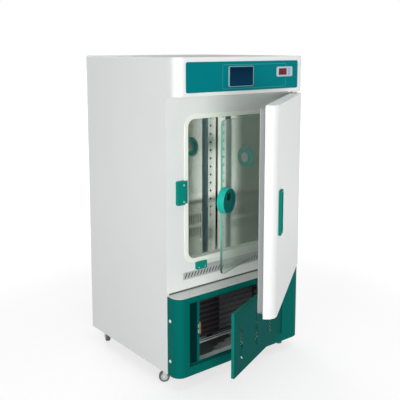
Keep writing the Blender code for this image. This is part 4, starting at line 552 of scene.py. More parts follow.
LIT_RED, red_shader, *_ = start_material("lit_red_figures")
fill(red_shader, {"Base Color": (0.30, 0.01, 0.015, 1), "Emission Color": (1.0, 0.03, 0.03, 1),
                  "Emission Strength": 0.18})
figures = []
for index, figure in enumerate(READING):
    figure_x = (WINDOW_LOW[0] + WINDOW_HIGH[0]) / 2 + (index - 1) * DIGIT_PITCH
    figures += digit_bars(figure, figure_x, (WINDOW_LOW[1] + WINDOW_HIGH[1]) / 2, case_front - SEGMENT_PROUD)
piece("thermostat_figures", merged(figures), "cabinet", LIT_RED, smooth=False)

# Door frame
# White sheet round the chamber opening, whose edge is covered by a cream moulding.  A grey
# moulded grille of leaning slots is let into the sheet under it, with a black sheet behind
# its slots as painted shade.
CREAM = coated("cream_moulding", (0.88, 0.91, 0.83), 0.42, grain=800.0, height=0.012 * MM)
softened("front_frame", "cabinet", WHITE_COAT)
softened("breaker_strip", "cabinet", CREAM, 0.8 * MM)
STRIP_GREY = coated("pale_grey_grille", (0.46, 0.48, 0.46), 0.5, grain=900.0, height=0.015 * MM)
softened("vent_strip", "cabinet", STRIP_GREY, 0.4 * MM)
BLACK = coated("black_paint", (0.018, 0.018, 0.02), 0.45, grain=500.0, height=0.03 * MM, drift=0.3)
strip_low, strip_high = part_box("vent_strip")
# A black sheet just behind the grille's slots: painted shade for the dark behind them.
GRILLE_SHADE_INSET = 4 * MM
GRILLE_SHADE_SUNK = 1.1 * MM           # behind the grille's face
GRILLE_SHADE_DEPTH = 0.6 * MM
grille_shade_y = strip_low.y + GRILLE_SHADE_SUNK
grille_shade = slab((strip_low.x + GRILLE_SHADE_INSET, grille_shade_y, strip_low.z + GRILLE_SHADE_INSET),
               (strip_high.x - GRILLE_SHADE_INSET, grille_shade_y + GRILLE_SHADE_DEPTH, strip_high.z - GRILLE_SHADE_INSET))
piece("vent_strip_painted_shade", grille_shade, "cabinet", BLACK, smooth=False)

# Catch and rest of the glass door
# Two teal moulded blocks screwed to the door frame.  The catch's screws are almost flush, so
# that the round latch turns over them.
def teal_moulding(name, colour, roughness, shine, drift=0.05):
    """One tone of teal plastic, with the fine grain of its mould."""
    return coated(name, colour, roughness, grain=1200.0, height=0.012 * MM, drift=drift, shine=shine)


TEAL = teal_moulding("teal_moulding", (0.004, 0.25, 0.20), 0.36, 0.05)
softened("glass_catch", "cabinet", TEAL, 0.8 * MM)
softened("glass_rest", "cabinet", TEAL, 0.8 * MM)
catch_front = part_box("glass_catch")[0].y
rest_low, rest_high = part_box("glass_rest")
CATCH_SCREW_X = -241 * MM
CATCH_SCREW_HEIGHTS = (686 * MM, 626 * MM)
FLUSH = 0.07                      # height of a screw's head to its radius
REST_SCREW_INSET = 9 * MM
REST_SCREW_RISE = 8 * MM
screws("catch_screws", "cabinet", [(CATCH_SCREW_X, catch_front, z) for z in CATCH_SCREW_HEIGHTS],
       (0, -1, 0), 3.6 * MM, PALE_MOULDING, FLUSH)
screws("rest_screws", "cabinet",
       [(x, rest_low.y, rest_low.z + REST_SCREW_RISE)
        for x in (rest_low.x + REST_SCREW_INSET, rest_high.x - REST_SCREW_INSET)],
       (0, -1, 0), 2.2 * MM, PALE_MOULDING)

# Chamber
# Polished stainless sheet welded into a box, with rigid foam behind it.  Two punched strips
# carry the shelves, and an air duct panel of the same sheet is screwed to the rear wall.
def polished_steel(name, colour, roughness, stretch):
    """Stainless sheet with the faint straight lines of its polish."""
    material, shader, new, link = start_material(name)
    material.diffuse_color = (*colour, 1)
    fill(shader, {"Metallic": 1.0})
    place = new("ShaderNodeTexCoord")
    pull = new("ShaderNodeMapping")
    fill(pull, {"Scale": stretch})
    lines = new("ShaderNodeTexNoise")
    fill(lines, {"Scale": 1.0, "Detail": 3.0})
    detail = new("ShaderNodeGroup")
    detail.node_tree = GRAIN
    fill(detail, {"Colour": (*colour, 1), "Drift": 0.16, "Roughness": roughness, "Roughness Drift": 0.1})
    relief = new("ShaderNodeBump")
    fill(relief, {"Distance": 0.02 * MM})
    link(place.outputs["Object"], pull.inputs["Vector"])
    link(pull.outputs["Vector"], lines.inputs["Vector"])
    link(detail.outputs["Colour"], shader.inputs["Base Color"])
    link(detail.outputs["Roughness"], shader.inputs["Roughness"])
    link(lines.outputs["Fac"], relief.inputs["Height"])
    link(relief.outputs["Normal"], shader.inputs["Normal"])
    return material


STAINLESS = polished_steel("polished_stainless", (0.75, 0.77, 0.73), 0.10, (600.0, 600.0, 6.0))
for sheet in ("chamber_liner", "duct_panel", "shelf_strip_left", "shelf_strip_right"):
    softened(sheet, "cabinet", STAINLESS, 0.25 * MM)
for fitting in ("glass_hinge_top", "glass_hinge_bottom", "heater", "temperature_probe"):
    softened(fitting, "cabinet", STAINLESS, 0.3 * MM)
FOAM = coated("rigid_foam", (0.66, 0.58, 0.36), 0.9, grain=500.0, height=0.2 * MM, drift=0.2)
softened("insulation", "cabinet", FOAM, 0)

# Duct fittings
# Sheet round the duct panel: black sheets behind its slots and dark steel sheets between it
# and the shelf strips, both painted shade for the dark duct and the deep gaps beside it, and a
# bright foot folded along its lower edge.
duct_low, duct_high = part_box("duct_panel")
DUCT_SCREW_INSET = 10 * MM
screws("duct_screws", "cabinet",
       [(side * (duct_high.x - DUCT_SCREW_INSET), duct_low.y, z)
        for side in (-1, 1) for z in (470 * MM, 660 * MM, 850 * MM)],
       (0, -1, 0), 3.2 * MM, ZINC)
# Black sheets just behind the duct panel's slots: painted shade for the dark duct behind them.
DUCT_SHADE_FRONT = 100.2 * MM         # just behind the duct panel's sheet
DUCT_SHADE_SHEET = 0.8 * MM
DUCT_SHADE_REACH = 138 * MM
duct_shade_spans = ((duct_low.z + 3 * MM, duct_low.z + 56 * MM), (duct_high.z - 50 * MM, duct_high.z - 6 * MM))
duct_shades = [slab((-DUCT_SHADE_REACH, DUCT_SHADE_FRONT, low), (DUCT_SHADE_REACH, DUCT_SHADE_FRONT + DUCT_SHADE_SHEET, high))
           for low, high in duct_shade_spans]
piece("duct_slot_painted_shade", merged(duct_shades), "cabinet", BLACK, smooth=False)
# Dark blue steel sheets in the deep gaps beside the duct panel: painted shade for those gaps.
SLOT_SHADE_METAL = polished_steel("dark_blue_painted_shade_steel", (0.10, 0.16, 0.17), 0.3, (600.0, 600.0, 6.0))
strip_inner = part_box("shelf_strip_right")[0].x
SIDE_SHADE_SUNK = 12 * MM             # behind the duct panel's face
SIDE_SHADE_SHEET = 1 * MM
SIDE_SHADE_GAP = 0.4 * MM
side_shade_y = duct_low.y + SIDE_SHADE_SUNK
side_shade_spans = ((-strip_inner + SIDE_SHADE_GAP, duct_low.x - SIDE_SHADE_GAP),
                (duct_high.x + SIDE_SHADE_GAP, strip_inner - SIDE_SHADE_GAP))
side_shades = [slab((left, side_shade_y, duct_low.z), (right, side_shade_y + SIDE_SHADE_SHEET, duct_high.z))
           for left, right in side_shade_spans]
piece("duct_side_painted_shade", merged(side_shades), "cabinet", SLOT_SHADE_METAL, smooth=False)
FOOT_STEEL = polished_steel("bright_folded_foot", (0.92, 0.93, 0.90), 0.25, (6.0, 600.0, 600.0))
FOOT_PROUD = 2.2 * MM             # in front of the duct panel's face
FOOT_CLEAR = 0.3 * MM
FOOT_HEIGHT = 2.4 * MM
foot = slab((duct_low.x + MM, duct_low.y - FOOT_PROUD, duct_low.z),
            (duct_high.x - MM, duct_low.y - FOOT_CLEAR, duct_low.z + FOOT_HEIGHT))
piece("duct_foot", foot, "cabinet", FOOT_STEEL, smooth=False)

# Air machinery
# Behind the duct panel: a bent copper coil that cools, and a moulded fan on its zinc-plated
# motor.  The stainless heater and probe beside them are finished with the chamber.
COPPER = coated("copper_tube", (0.62, 0.28, 0.16), 0.3, grain=400.0, height=0.01 * MM, drift=0.3,
                metallic=1.0)
softened("evaporator", "cabinet", COPPER, 0)
softened("fan_motor", "cabinet", ZINC, 0.5 * MM)
GREY = coated("grey_moulding", (0.30, 0.32, 0.31), 0.5, grain=900.0, height=0.015 * MM)
softened("circulation_fan", "circulation_fan", GREY, 0.3 * MM)

# Test port
# A teal moulded ring on the chamber wall with its tube through the foam, and a collar
# outside, held by three screws.  The bore is lined in white.
PORT_WHITE = coated("white_port_lining", (0.88, 0.90, 0.84), 0.5, grain=900.0, height=0.01 * MM)
ring_low, ring_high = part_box("port_sleeve")
ring_y = (ring_low.y + ring_high.y) / 2
ring_z = (ring_low.z + ring_high.z) / 2
PORT_BORE_REACH = 21 * MM         # faces nearer the axis than this line the bore
PORT_TEAL = teal_moulding("blue_teal_moulding", (0.0, 0.42, 0.38), 0.36, 0.1, drift=0.3)
for port_piece in ("port_sleeve", "port_collar"):
    moulded = softened(port_piece, "cabinet", PORT_TEAL, 0.6 * MM)
    points = [vert.co - Vector((0, ring_y, ring_z)) for vert in moulded.data.vertices]
    two_tone(moulded, PORT_WHITE, lambda face: max(
        math.hypot(points[index].y, points[index].z) for index in face.vertices) < PORT_BORE_REACH)
RING_SCREW_CIRCLE = 35 * MM
RING_SCREW_TURNS = [math.radians(turn) for turn in (90, 210, 330)]
screws("port_ring_screws", "cabinet",
       [(ring_low.x, ring_y + RING_SCREW_CIRCLE * math.cos(turn), ring_z + RING_SCREW_CIRCLE * math.sin(turn))
        for turn in RING_SCREW_TURNS],
       (-1, 0, 0), 2.6 * MM, PALE_MOULDING)

# Glass door
# One toughened pane with a faint wiped film on it and polished edges, held in the slot of a
# stainless rail that is pinned top and bottom.
FILM_LEAST = 0.08
FILM_MOST = 0.19
EDGE_GREEN = (0.10, 0.40, 0.31)
EDGE_DEEP = (0.012, 0.05, 0.04)
EDGE_DARK_BELOW = 420 * MM        # the polished edge is deep green low down, where less light enters
EDGE_BRIGHT_ABOVE = 540 * MM


def pane_materials():
    """Tinted glass under a wiped film, its polished edge, deeper low down, and its ground edges."""
    clear, shader, new, link = start_material("toughened_glass")
    fill(shader, {"Base Color": (0.80, 0.88, 0.84, 1), "Roughness": 0.0, "IOR": 1.38,
                  "Transmission Weight": 1.0})
    place = new("ShaderNodeTexCoord")
    wiped = new("ShaderNodeTexNoise")
    fill(wiped, {"Scale": 7.0, "Detail": 5.0})
    amount = new("ShaderNodeMapRange")
    fill(amount, {"To Min": FILM_LEAST, "To Max": FILM_MOST})
    film = new("ShaderNodeBsdfDiffuse")
    fill(film, {"Color": (0.44, 0.51, 0.48, 1)})
    both = new("ShaderNodeMixShader")
    link(place.outputs["Object"], wiped.inputs["Vector"])
    link(wiped.outputs["Fac"], amount.inputs["Value"])
    link(amount.outputs["Result"], both.inputs["Fac"])
    link(shader.outputs[0], both.inputs[1])
    link(film.outputs[0], both.inputs[2])
    through = new("ShaderNodeBsdfTransparent")
    fill(through, {"Color": (0.84, 0.90, 0.87, 1)})
    rays = new("ShaderNodeLightPath")
    lets_light = new("ShaderNodeMixShader")
    link(rays.outputs["Is Shadow Ray"], lets_light.inputs["Fac"])
    link(both.outputs[0], lets_light.inputs[1])
    link(through.outputs[0], lets_light.inputs[2])
    link(lets_light.outputs[0], clear.node_tree.nodes["Material Output"].inputs["Surface"])
    edge = coated("glass_edge", EDGE_GREEN, 0.2, height=0.0)
    new, link = edge.node_tree.nodes.new, edge.node_tree.links.new
    upright = new("ShaderNodeTexCoord")
    split = new("ShaderNodeSeparateXYZ")
    rise = new("ShaderNodeMapRange")
    fill(rise, {"From Min": EDGE_DARK_BELOW, "From Max": EDGE_BRIGHT_ABOVE})
    tone = new("ShaderNodeMix")
    tone.data_type = "RGBA"
    fill(tone, {"A": (*EDGE_DEEP, 1), "B": (*EDGE_GREEN, 1)})
    link(upright.outputs["Object"], split.inputs["Vector"])
    link(split.outputs["Z"], rise.inputs["Value"])
    link(rise.outputs["Result"], tone.inputs["Factor"])
    link(tone.outputs["Result"], edge.node_tree.nodes["Group"].inputs["Colour"])
    cut = coated("ground_glass_edge", (0.10, 0.30, 0.24), 0.4, height=0.0)
    return clear, edge, cut


pane_shape = whole_faces("glass_pane")
clear_glass, glass_edge, ground_edge = pane_materials()
pane_shape.normal_update()
PANE_TURN = math.radians(20.5)    # how far the glass door stands open
across = Vector((math.sin(PANE_TURN), -math.cos(PANE_TURN), 0))
along = Vector((-math.cos(PANE_TURN), -math.sin(PANE_TURN), 0))
for face in pane_shape.faces:
    if abs(face.normal.dot(across)) > 0.9:
        face.material_index = 0
    else:
        face.material_index = 1 if face.normal.dot(along) > 0.5 else 2
pane = piece("glass_pane_finished", pane_shape, "glass_door", clear_glass)
pane.data.materials.append(glass_edge)
pane.data.materials.append(ground_edge)
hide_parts("glass_pane")
softened("glass_hinge_rail", "glass_door", STAINLESS, 0.3 * MM)

# Latch
# A round teal moulding that turns off centre on a hub through the glass.  Its face is
# dished, with a hole for a fingertip and a crescent for the thumb.  Its rim is painted
# lit in bright teal, and its face, dish, hole and crescent are painted shade in darker teals.
LATCH_LIT_RIM = teal_moulding("teal_painted_light_rim", (0.008, 0.44, 0.36), 0.34, 0.2)
LATCH_DIM_FACE = teal_moulding("teal_painted_shade_face", (0.003, 0.11, 0.098), 0.4, 0.08)
LATCH_DIM_HOLLOWS = teal_moulding("teal_painted_deep_shade", (0.002, 0.045, 0.04), 0.5, 0.05)
latch = softened("glass_latch", "glass_latch", LATCH_LIT_RIM, 1.2 * MM, 3)
latch_low, latch_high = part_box("glass_latch")
latch_middle = (latch_low + latch_high) / 2
DISH_REACH = 33.5 * MM
DISH_FLOOR = 8.6 * MM             # in front of the latch's middle
FINGER_HOLE_RISE = 14 * MM        # above the latch's middle
FINGER_HOLE_REACH = 12.6 * MM


def furthest(face, rise):
    """How far a face of the latch reaches from a line along its axis, raised by rise."""
    reach = 0.0
    for index in face.vertices:
        away = latch.data.vertices[index].co - latch_middle - Vector((0, 0, rise))
        reach = max(reach, (away - across * away.dot(across)).length)
    return reach


# Lit and shaded tones of one moulding: the bright rim is painted light, the face and dish painted shade, and
# the finger hole a darker painted shade.
two_tone(latch, LATCH_DIM_FACE, lambda face: face.normal.dot(across) > 0.75 or furthest(face, 0.0) < DISH_REACH)
two_tone(latch, LATCH_DIM_HOLLOWS, lambda face: furthest(face, FINGER_HOLE_RISE) < FINGER_HOLE_REACH)
THUMB_INNER = 17 * MM             # inner and outer radius of the thumb rest
THUMB_OUTER = 28 * MM
THUMB_RISE = 1.2 * MM
THUMB_START = math.radians(-78)
THUMB_END = math.radians(-8)
THUMB_STEPS = 14
THUMB_TIP = 0.15                  # width at its ends, as a share of its full width


def thumb_rest():
    """A crescent moulded into the latch's dish, low on the side of the hinges."""
    shape = bmesh.new()
    bmesh.ops.create_grid(shape, x_segments=1, y_segments=1, size=0.5)
    bmesh.ops.delete(shape, geom=shape.faces[:], context="FACES_ONLY")
    middle = (THUMB_INNER + THUMB_OUTER) / 2
    section = (Matrix.Translation((middle, DISH_FLOOR + THUMB_RISE / 2, 0))
               @ Matrix.Diagonal((THUMB_OUTER - THUMB_INNER, THUMB_RISE, 1, 1)))
    shape.transform(Matrix.Rotation(-THUMB_START, 4, "Y") @ section)
    bmesh.ops.spin(shape, geom=shape.verts[:] + shape.edges[:], cent=(0, 0, 0), axis=(0, -1, 0),
                   angle=THUMB_END - THUMB_START, steps=THUMB_STEPS)
    bmesh.ops.holes_fill(shape, edges=[edge for edge in shape.edges if edge.is_boundary])
    for vert in shape.verts:
        reach = math.hypot(vert.co.x, vert.co.z)
        part = (math.atan2(vert.co.z, vert.co.x) - THUMB_START) / (THUMB_END - THUMB_START)
        share = THUMB_TIP + (1 - THUMB_TIP) * math.sin(math.pi * part)
        pulled = (middle + (reach - middle) * share) / reach
        vert.co = (vert.co.x * pulled, vert.co.y, vert.co.z * pulled)
    stand = Matrix((-along, across, (0, 0, 1))).transposed().to_4x4()
    shape.transform(Matrix.Translation(latch_middle) @ stand)
    shape.normal_update()
    bmesh.ops.recalc_face_normals(shape, faces=shape.faces)
    return shape


# The thumb rest takes the latch's darkest painted shade.
piece("latch_thumb_rest", thumb_rest(), "glass_latch", LATCH_DIM_HOLLOWS)

# Outer door
# A folded white skin with rounded upright corners round foam, a cream moulded inner panel
# with a recess that clears the glass door and its latch, and a teal moulded cup handle.  It
# turns on the pins of two zinc-plated hinges.
softened("door_shell", "outer_door", WHITE_COAT)
softened("door_liner", "outer_door", CREAM, 0.6 * MM)
HANDLE_TEAL = teal_moulding("teal_handle", (0.0, 0.21, 0.165), 0.45, 0.02)
softened("door_handle", "outer_door", HANDLE_TEAL, 0.8 * MM)
softened("door_hinge_top", "cabinet", ZINC, 0.5 * MM)
softened("door_hinge_bottom", "cabinet", ZINC, 0.5 * MM)

# Door seal
# A soft grey magnetic gasket pressed into the inner panel's groove, with two paler ribs that
# run round it.  The ribs are drawn rigid; on the real seal they fold as the door shuts.
SEAL = coated("grey_seal", (0.25, 0.265, 0.265), 0.7, grain=1500.0, height=0.02 * MM)
softened("door_gasket", "outer_door", SEAL, 0.6 * MM)
DOOR_PIN = Vector((285 * MM, -308 * MM, 0))
DOOR_TURN = math.radians(36.3)    # how far the outer door stands open
opened = Matrix.Translation(DOOR_PIN) @ Matrix.Rotation(DOOR_TURN, 4, "Z") @ Matrix.Translation(-DOOR_PIN)
closed = opened.inverted()
shut_gasket = [closed @ vert.co for vert in nodes["door_gasket"].data.vertices]
seal_low = Vector([min(point[axis] for point in shut_gasket) for axis in range(3)])
seal_high = Vector([max(point[axis] for point in shut_gasket) for axis in range(3)])
RIB_PROUD = 0.7 * MM
RIB_DEPTH = 1.4 * MM
RIB_INSET = 1.5 * MM              # from the gasket's front and back
RIB_WIDTH = 4 * MM
RIB_CORNER = 14 * MM
ribs = []
for rib_y in (seal_low.y + RIB_INSET, seal_high.y - RIB_INSET - RIB_DEPTH):
    ribs.append(window_frame((seal_low.x - RIB_PROUD, rib_y, seal_low.z - RIB_PROUD),
                             (seal_high.x + RIB_PROUD, rib_y + RIB_DEPTH, seal_high.z + RIB_PROUD),
                             RIB_WIDTH, RIB_CORNER))
bellows = merged(ribs)
bellows.transform(opened)
SEAL_RIB = coated("pale_seal_rib", (0.42, 0.44, 0.44), 0.65, grain=1500.0, height=0.02 * MM)
piece("gasket_ribs", bellows, "outer_door", SEAL_RIB)

# Base
# A teal painted sheet nose with a rebated opening, a pale plate screwed on top of it, and a
# near-black teal sheet behind the gap left of the opening, painted shade for the deep recess
# there.  A grey bead seals the door frame to the plate, and a thin black strip under the
# plate's front edge is painted shadow.
TEAL_COAT = coated("teal_powder_coat", (0.0, 0.138, 0.118), 0.4, shine=0.04)
LEDGE = coated("pale_ledge_plate", (0.72, 0.74, 0.72), 0.45)
softened("base_frame", "cabinet", TEAL_COAT, 0.5 * MM)
softened("ledge_plate", "cabinet", LEDGE, 0.4 * MM)
# The near-black teal of this sheet is painted shade for the deep recess left of the opening.
RECESS_PAINTED_SHADE = coated("shaded_teal_coat", (0.0, 0.028, 0.027), 0.5, shine=0.02)
RECESS_LOW = 36 * MM
RECESS_HIGH = 268 * MM
recess = [slab((-252.5 * MM, -312 * MM, RECESS_LOW), (-207 * MM, -311 * MM, RECESS_HIGH)),
          slab((-208.6 * MM, -311 * MM, RECESS_LOW), (-207.6 * MM, -274 * MM, RECESS_HIGH))]
piece("base_recess_sheet", merged(recess), "cabinet", RECESS_PAINTED_SHADE, smooth=False)
BEAD_GREY = coated("grey_sealing_bead", (0.10, 0.11, 0.10), 0.7, shine=0.1)
bead = slab((-300 * MM, -271.6 * MM, 295.15 * MM), (300 * MM, -270.1 * MM, 300.4 * MM))
piece("frame_sealing_bead", bead, "cabinet", BEAD_GREY, smooth=False)
# A thin black strip under the ledge plate's front edge: painted shadow under its lip.
LIP_SHADOW_BLACK = coated("black_lip_painted_shadow", (0.02, 0.02, 0.02), 0.7, shine=0.1)
lip_shadow = slab((-238 * MM, -330.2 * MM, 291.2 * MM), (240 * MM, -328.0 * MM, 292.9 * MM))
piece("ledge_lip_painted_shadow", lip_shadow, "cabinet", LIP_SHADOW_BLACK, smooth=False)
ledge_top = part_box("ledge_plate")[1].z
frame_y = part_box("front_frame")[0].y
LEDGE_SCREW_FRONT = 30 * MM       # in front of the door frame's face
LEDGE_SCREW_PLACES = (-231 * MM, -6 * MM, 219 * MM)
screws("ledge_screws", "cabinet",
       [(x, frame_y - LEDGE_SCREW_FRONT, ledge_top) for x in LEDGE_SCREW_PLACES],
       (0, 0, 1), 2.8 * MM, ZINC)

# Vent door
# A tray of folded teal sheet with three columns of louvres, on two pins.  A brass spring
# catch with two pale rollers holds it shut, on the edge of the opening.  The tray's teal is
# darkened as painted shade, its upper and side folds are painted light, and its louvre lips
# carry painted highlights.
# The tray's teal, darker than the base's coat, is painted shade from the outer door above it.
VENT_SHADED_TEAL = coated("teal_door_painted_shade", (0.0, 0.102, 0.090), 0.5, shine=0.02)
# Pale louvre lips: painted highlights where the light catches them.
LOUVRE_HIGHLIGHT = coated("louvre_lip_painted_highlight", (0.42, 0.56, 0.52), 0.4, height=0.0)
# Brighter teal on the folds that face up or along the tray: painted light.
VENT_FOLD_LIGHT = coated("teal_fold_painted_light", (0.0, 0.19, 0.155), 0.4, shine=0.1)
VENT_TURN = math.radians(22.9)    # how far the vent door stands open
LOUVRES_LOW = 90 * MM
LIP_AREA = 12e-6                  # in square metres, more than a softened edge has
FOLD_AREA = 1e-3
leaf_across = Vector((math.sin(VENT_TURN), -math.cos(VENT_TURN), 0))
leaf_along = Vector((-math.cos(VENT_TURN), -math.sin(VENT_TURN), 0))
vent_leaf = softened("vent_door", "vent_door", VENT_SHADED_TEAL, 0.5 * MM)
two_tone(vent_leaf, LOUVRE_HIGHLIGHT, lambda face: 0.55 < face.normal.z < 0.85 and face.area > LIP_AREA
         and face.center.z > LOUVRES_LOW)
two_tone(vent_leaf, VENT_FOLD_LIGHT, lambda face: (face.normal.z > 0.95 or face.normal.dot(leaf_along) > 0.8)
         and abs(face.normal.dot(leaf_across)) < 0.3 and face.area > FOLD_AREA)
BRASS = coated("brass", (0.34, 0.23, 0.10), 0.35, grain=900.0, height=0.01 * MM, drift=0.2, metallic=1.0)
softened("vent_catch", "cabinet", BRASS, 0.5 * MM)
catch_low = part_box("vent_catch")[0]
ROLLER_HEIGHTS = (143 * MM, 163 * MM)
ROLLER_LENGTH = 13 * MM
rollers = [slab((catch_low.x + 2.5 * MM, catch_low.y - 0.8 * MM, low),
                (catch_low.x + 6 * MM, catch_low.y + MM, low + ROLLER_LENGTH)) for low in ROLLER_HEIGHTS]
piece("vent_catch_rollers", merged(rollers), "cabinet", PALE_MOULDING, smooth=False)

# Side caps
# White moulded caps over the screws of the base, two on each side of the cabinet near its
# front.


def domed_cap(place, facing, radius, height):
    """A cap set on a surface at place: a shallow dome on a short wall."""
    steps = 6
    profile = [Vector((0, 0, height))]
    for step in range(1, steps + 1):
        angle = math.radians(90) * step / steps
        profile.append(Vector((radius * math.sin(angle), 0, height * (0.35 + 0.65 * math.cos(angle)))))
    profile.append(Vector((radius, 0, 0)))
    profile.append(Vector((0, 0, 0)))
    cap = bmesh.new()
    verts = [cap.verts.new(point) for point in profile]
    edges = [cap.edges.new(pair) for pair in zip(verts, verts[1:])]
    bmesh.ops.spin(cap, geom=verts + edges, cent=(0, 0, 0), axis=(0, 0, 1), angle=math.tau, steps=24,
                   use_merge=True)
    bmesh.ops.remove_doubles(cap, verts=cap.verts, dist=0.01 * MM)
    bmesh.ops.recalc_face_normals(cap, faces=cap.faces)
    cap.transform(Matrix.Translation(place) @ Vector(facing).to_track_quat("Z", "Y").to_matrix().to_4x4())
    return cap


CAP_FRONT = 17 * MM               # in front of the door frame's face
CAP_HEIGHTS = (57 * MM, 207 * MM)
CAP_RADIUS = 6 * MM
CAP_DOME = 2.4 * MM
caps = [domed_cap((side * half_width, frame_y - CAP_FRONT, z), (side, 0, 0), CAP_RADIUS, CAP_DOME)
        for side in (-1, 1) for z in CAP_HEIGHTS]
piece("base_side_caps", merged(caps), "cabinet", WHITE_COAT)

# Condenser
# A black painted tube bent to and fro between two end plates.  Thin sheet fins stand behind
# it, paler on the right, and two bright zinc rails run along its front foot.
COIL_BLACK = coated("coil_black", (0.05, 0.045, 0.052), 0.4, grain=400.0, height=0.03 * MM, drift=0.3)
softened("condenser", "cabinet", COIL_BLACK, 0)
condenser_low, condenser_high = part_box("condenser")
FIN_COAT = coated("fin_black", (0.07, 0.058, 0.07), 0.5, grain=300.0, height=0.05 * MM, drift=0.4, shine=0.2)
FIN_PALE = coated("pale_right_fin", (0.26, 0.26, 0.27), 0.7, grain=300.0, height=0.05 * MM, drift=0.4, shine=0.2)
FIN_PITCH = 5.5 * MM
FIN_SHEET = 0.4 * MM
FIN_FRONT = 16 * MM               # in front of the condenser's back
FIN_BACK = 1 * MM
FIN_LOW = 74 * MM
FIN_HIGH = 232 * MM
PALE_FROM = -22 * MM             # where the fins turn pale
dark_fins = []
pale_fins = []
fin_x = condenser_low.x + 20 * MM
while fin_x < condenser_high.x - 18 * MM:
    fin = slab((fin_x, condenser_high.y - FIN_FRONT, FIN_LOW),
               (fin_x + FIN_SHEET, condenser_high.y - FIN_BACK, FIN_HIGH))
    if fin_x < PALE_FROM:
        dark_fins.append(fin)
    else:
        pale_fins.append(fin)
    fin_x += FIN_PITCH
piece("condenser_fins_left", merged(dark_fins), "cabinet", FIN_COAT, smooth=False)
piece("condenser_fins_right", merged(pale_fins), "cabinet", FIN_PALE, smooth=False)
RAIL_ZINC = coated("bright_zinc_rail", (0.86, 0.88, 0.87), 0.3, grain=900.0, height=0.01 * MM)
RAIL_INSET = 2 * MM
RAIL_PROUD = 3.2 * MM
RAIL_CLEAR = 0.4 * MM
RAILS = ((61 * MM, 1.8 * MM), (51 * MM, 4.2 * MM))    # lower edge and height of each
rails = [slab((condenser_low.x + RAIL_INSET, condenser_low.y - RAIL_PROUD, low),
              (condenser_high.x - RAIL_INSET, condenser_low.y - RAIL_CLEAR, low + tall))
         for low, tall in RAILS]
piece("condenser_front_rails", merged(rails), "cabinet", RAIL_ZINC, smooth=False)

# Pan lining
# A brighter white sheet laid in the pan behind the opening, its white partly painted light
# falling in through the opening, and a darker grey-green sheet with a jagged edge laid on it.
PAN_LIT_WHITE = coated("pan_white_painted_light", (0.94, 0.95, 0.95), 0.35, grain=300.0, height=0.05 * MM, drift=0.12)
PAN_GREY_GREEN = coated("grey_green_jagged_sheet", (0.26, 0.34, 0.32), 0.6, grain=300.0, height=0.1 * MM, drift=0.4)
JAGGED_SHEET_LOW = 3.2 * MM
JAGGED_SHEET_THICKNESS = 1.4 * MM
JAGGED_OUTLINE = ((-205, -262), (-120, -262), (-98, -252), (-112, -244), (-88, -238), (-66, -240),
             (-70, -226), (-44, -222), (-50, -206), (-20, -204), (-8, -192), (20, -196),
             (40, -180), (75, -176), (75, -150), (-205, -150))    # millimetres, seen from above


def jagged_sheet():
    """A darker sheet with a jagged front edge, as thick as set above."""
    shape = bmesh.new()
    sheet = shape.faces.new([shape.verts.new((x * MM, y * MM, JAGGED_SHEET_LOW)) for x, y in JAGGED_OUTLINE])
    grown = bmesh.ops.extrude_face_region(shape, geom=[sheet], use_keep_orig=True)["geom"]
    lifted = [part for part in grown if isinstance(part, bmesh.types.BMVert)]
    bmesh.ops.translate(shape, verts=lifted, vec=(0, 0, JAGGED_SHEET_THICKNESS))
    bmesh.ops.recalc_face_normals(shape, faces=shape.faces)
    return shape


# The lining's white, brighter than the coat, is partly the pan's own white and partly painted light.
pan_lining = slab((-206 * MM, -266 * MM, 2.1 * MM), (190 * MM, -126 * MM, 2.9 * MM))
piece("pan_lining", pan_lining, "cabinet", PAN_LIT_WHITE, smooth=False)
piece("pan_jagged_sheet", jagged_sheet(), "cabinet", PAN_GREY_GREEN, smooth=False)

# Refrigeration unit
# A black hermetic compressor, the condenser's fan and motor, and a moulded drip tray.  Bent
# copper pipes with a soldered filter drier join the unit to the coil, and black cables
# supply the compressor and the motor.
softened("condenser_motor", "cabinet", BLACK, 0.5 * MM)
softened("condenser_fan", "condenser_fan", GREY, 0.3 * MM)
softened("compressor", "cabinet", BLACK, 0.5 * MM)
softened("drip_tray", "cabinet", PALE_MOULDING, 0.4 * MM)
PIPE = 3 * MM
DRIER = 10 * MM
CABLE_RADIUS = 2.6 * MM
PIPE_BEND = 14 * MM
BEND_STEPS = 6


def bent_path(points):
    """A line through points in millimetres, with its corners rounded."""
    corners = [Vector(point) * MM for point in points]
    path = [corners[0]]
    for before, corner, after in zip(corners, corners[1:], corners[2:]):
        start = corner + (before - corner).normalized() * PIPE_BEND
        end = corner + (after - corner).normalized() * PIPE_BEND
        for step in range(BEND_STEPS + 1):
            part = step / BEND_STEPS
            path.append(start.lerp(corner, part).lerp(corner.lerp(end, part), part))
    path.append(corners[-1])
    return path


def pipe(points, radius, sides=12):
    """A round pipe or cable along a bent path, closed at both ends."""
    path = bent_path(points)
    shape = bmesh.new()
    rings = []
    side = None
    for index, point in enumerate(path):
        ahead = (path[min(index + 1, len(path) - 1)] - path[max(index - 1, 0)]).normalized()
        if side is None:
            side = ahead.orthogonal()
        side = (side - ahead * side.dot(ahead)).normalized()
        other = ahead.cross(side)
        rings.append([shape.verts.new(point + (side * math.cos(turn) + other * math.sin(turn)) * radius)
                      for turn in (math.tau * step / sides for step in range(sides))])
    for near, far in zip(rings, rings[1:]):
        for corner in range(sides):
            after = (corner + 1) % sides
            shape.faces.new((near[corner], near[after], far[after], far[corner]))
    shape.faces.new(rings[0][::-1])
    shape.faces.new(rings[-1])
    bmesh.ops.recalc_face_normals(shape, faces=shape.faces)
    return shape


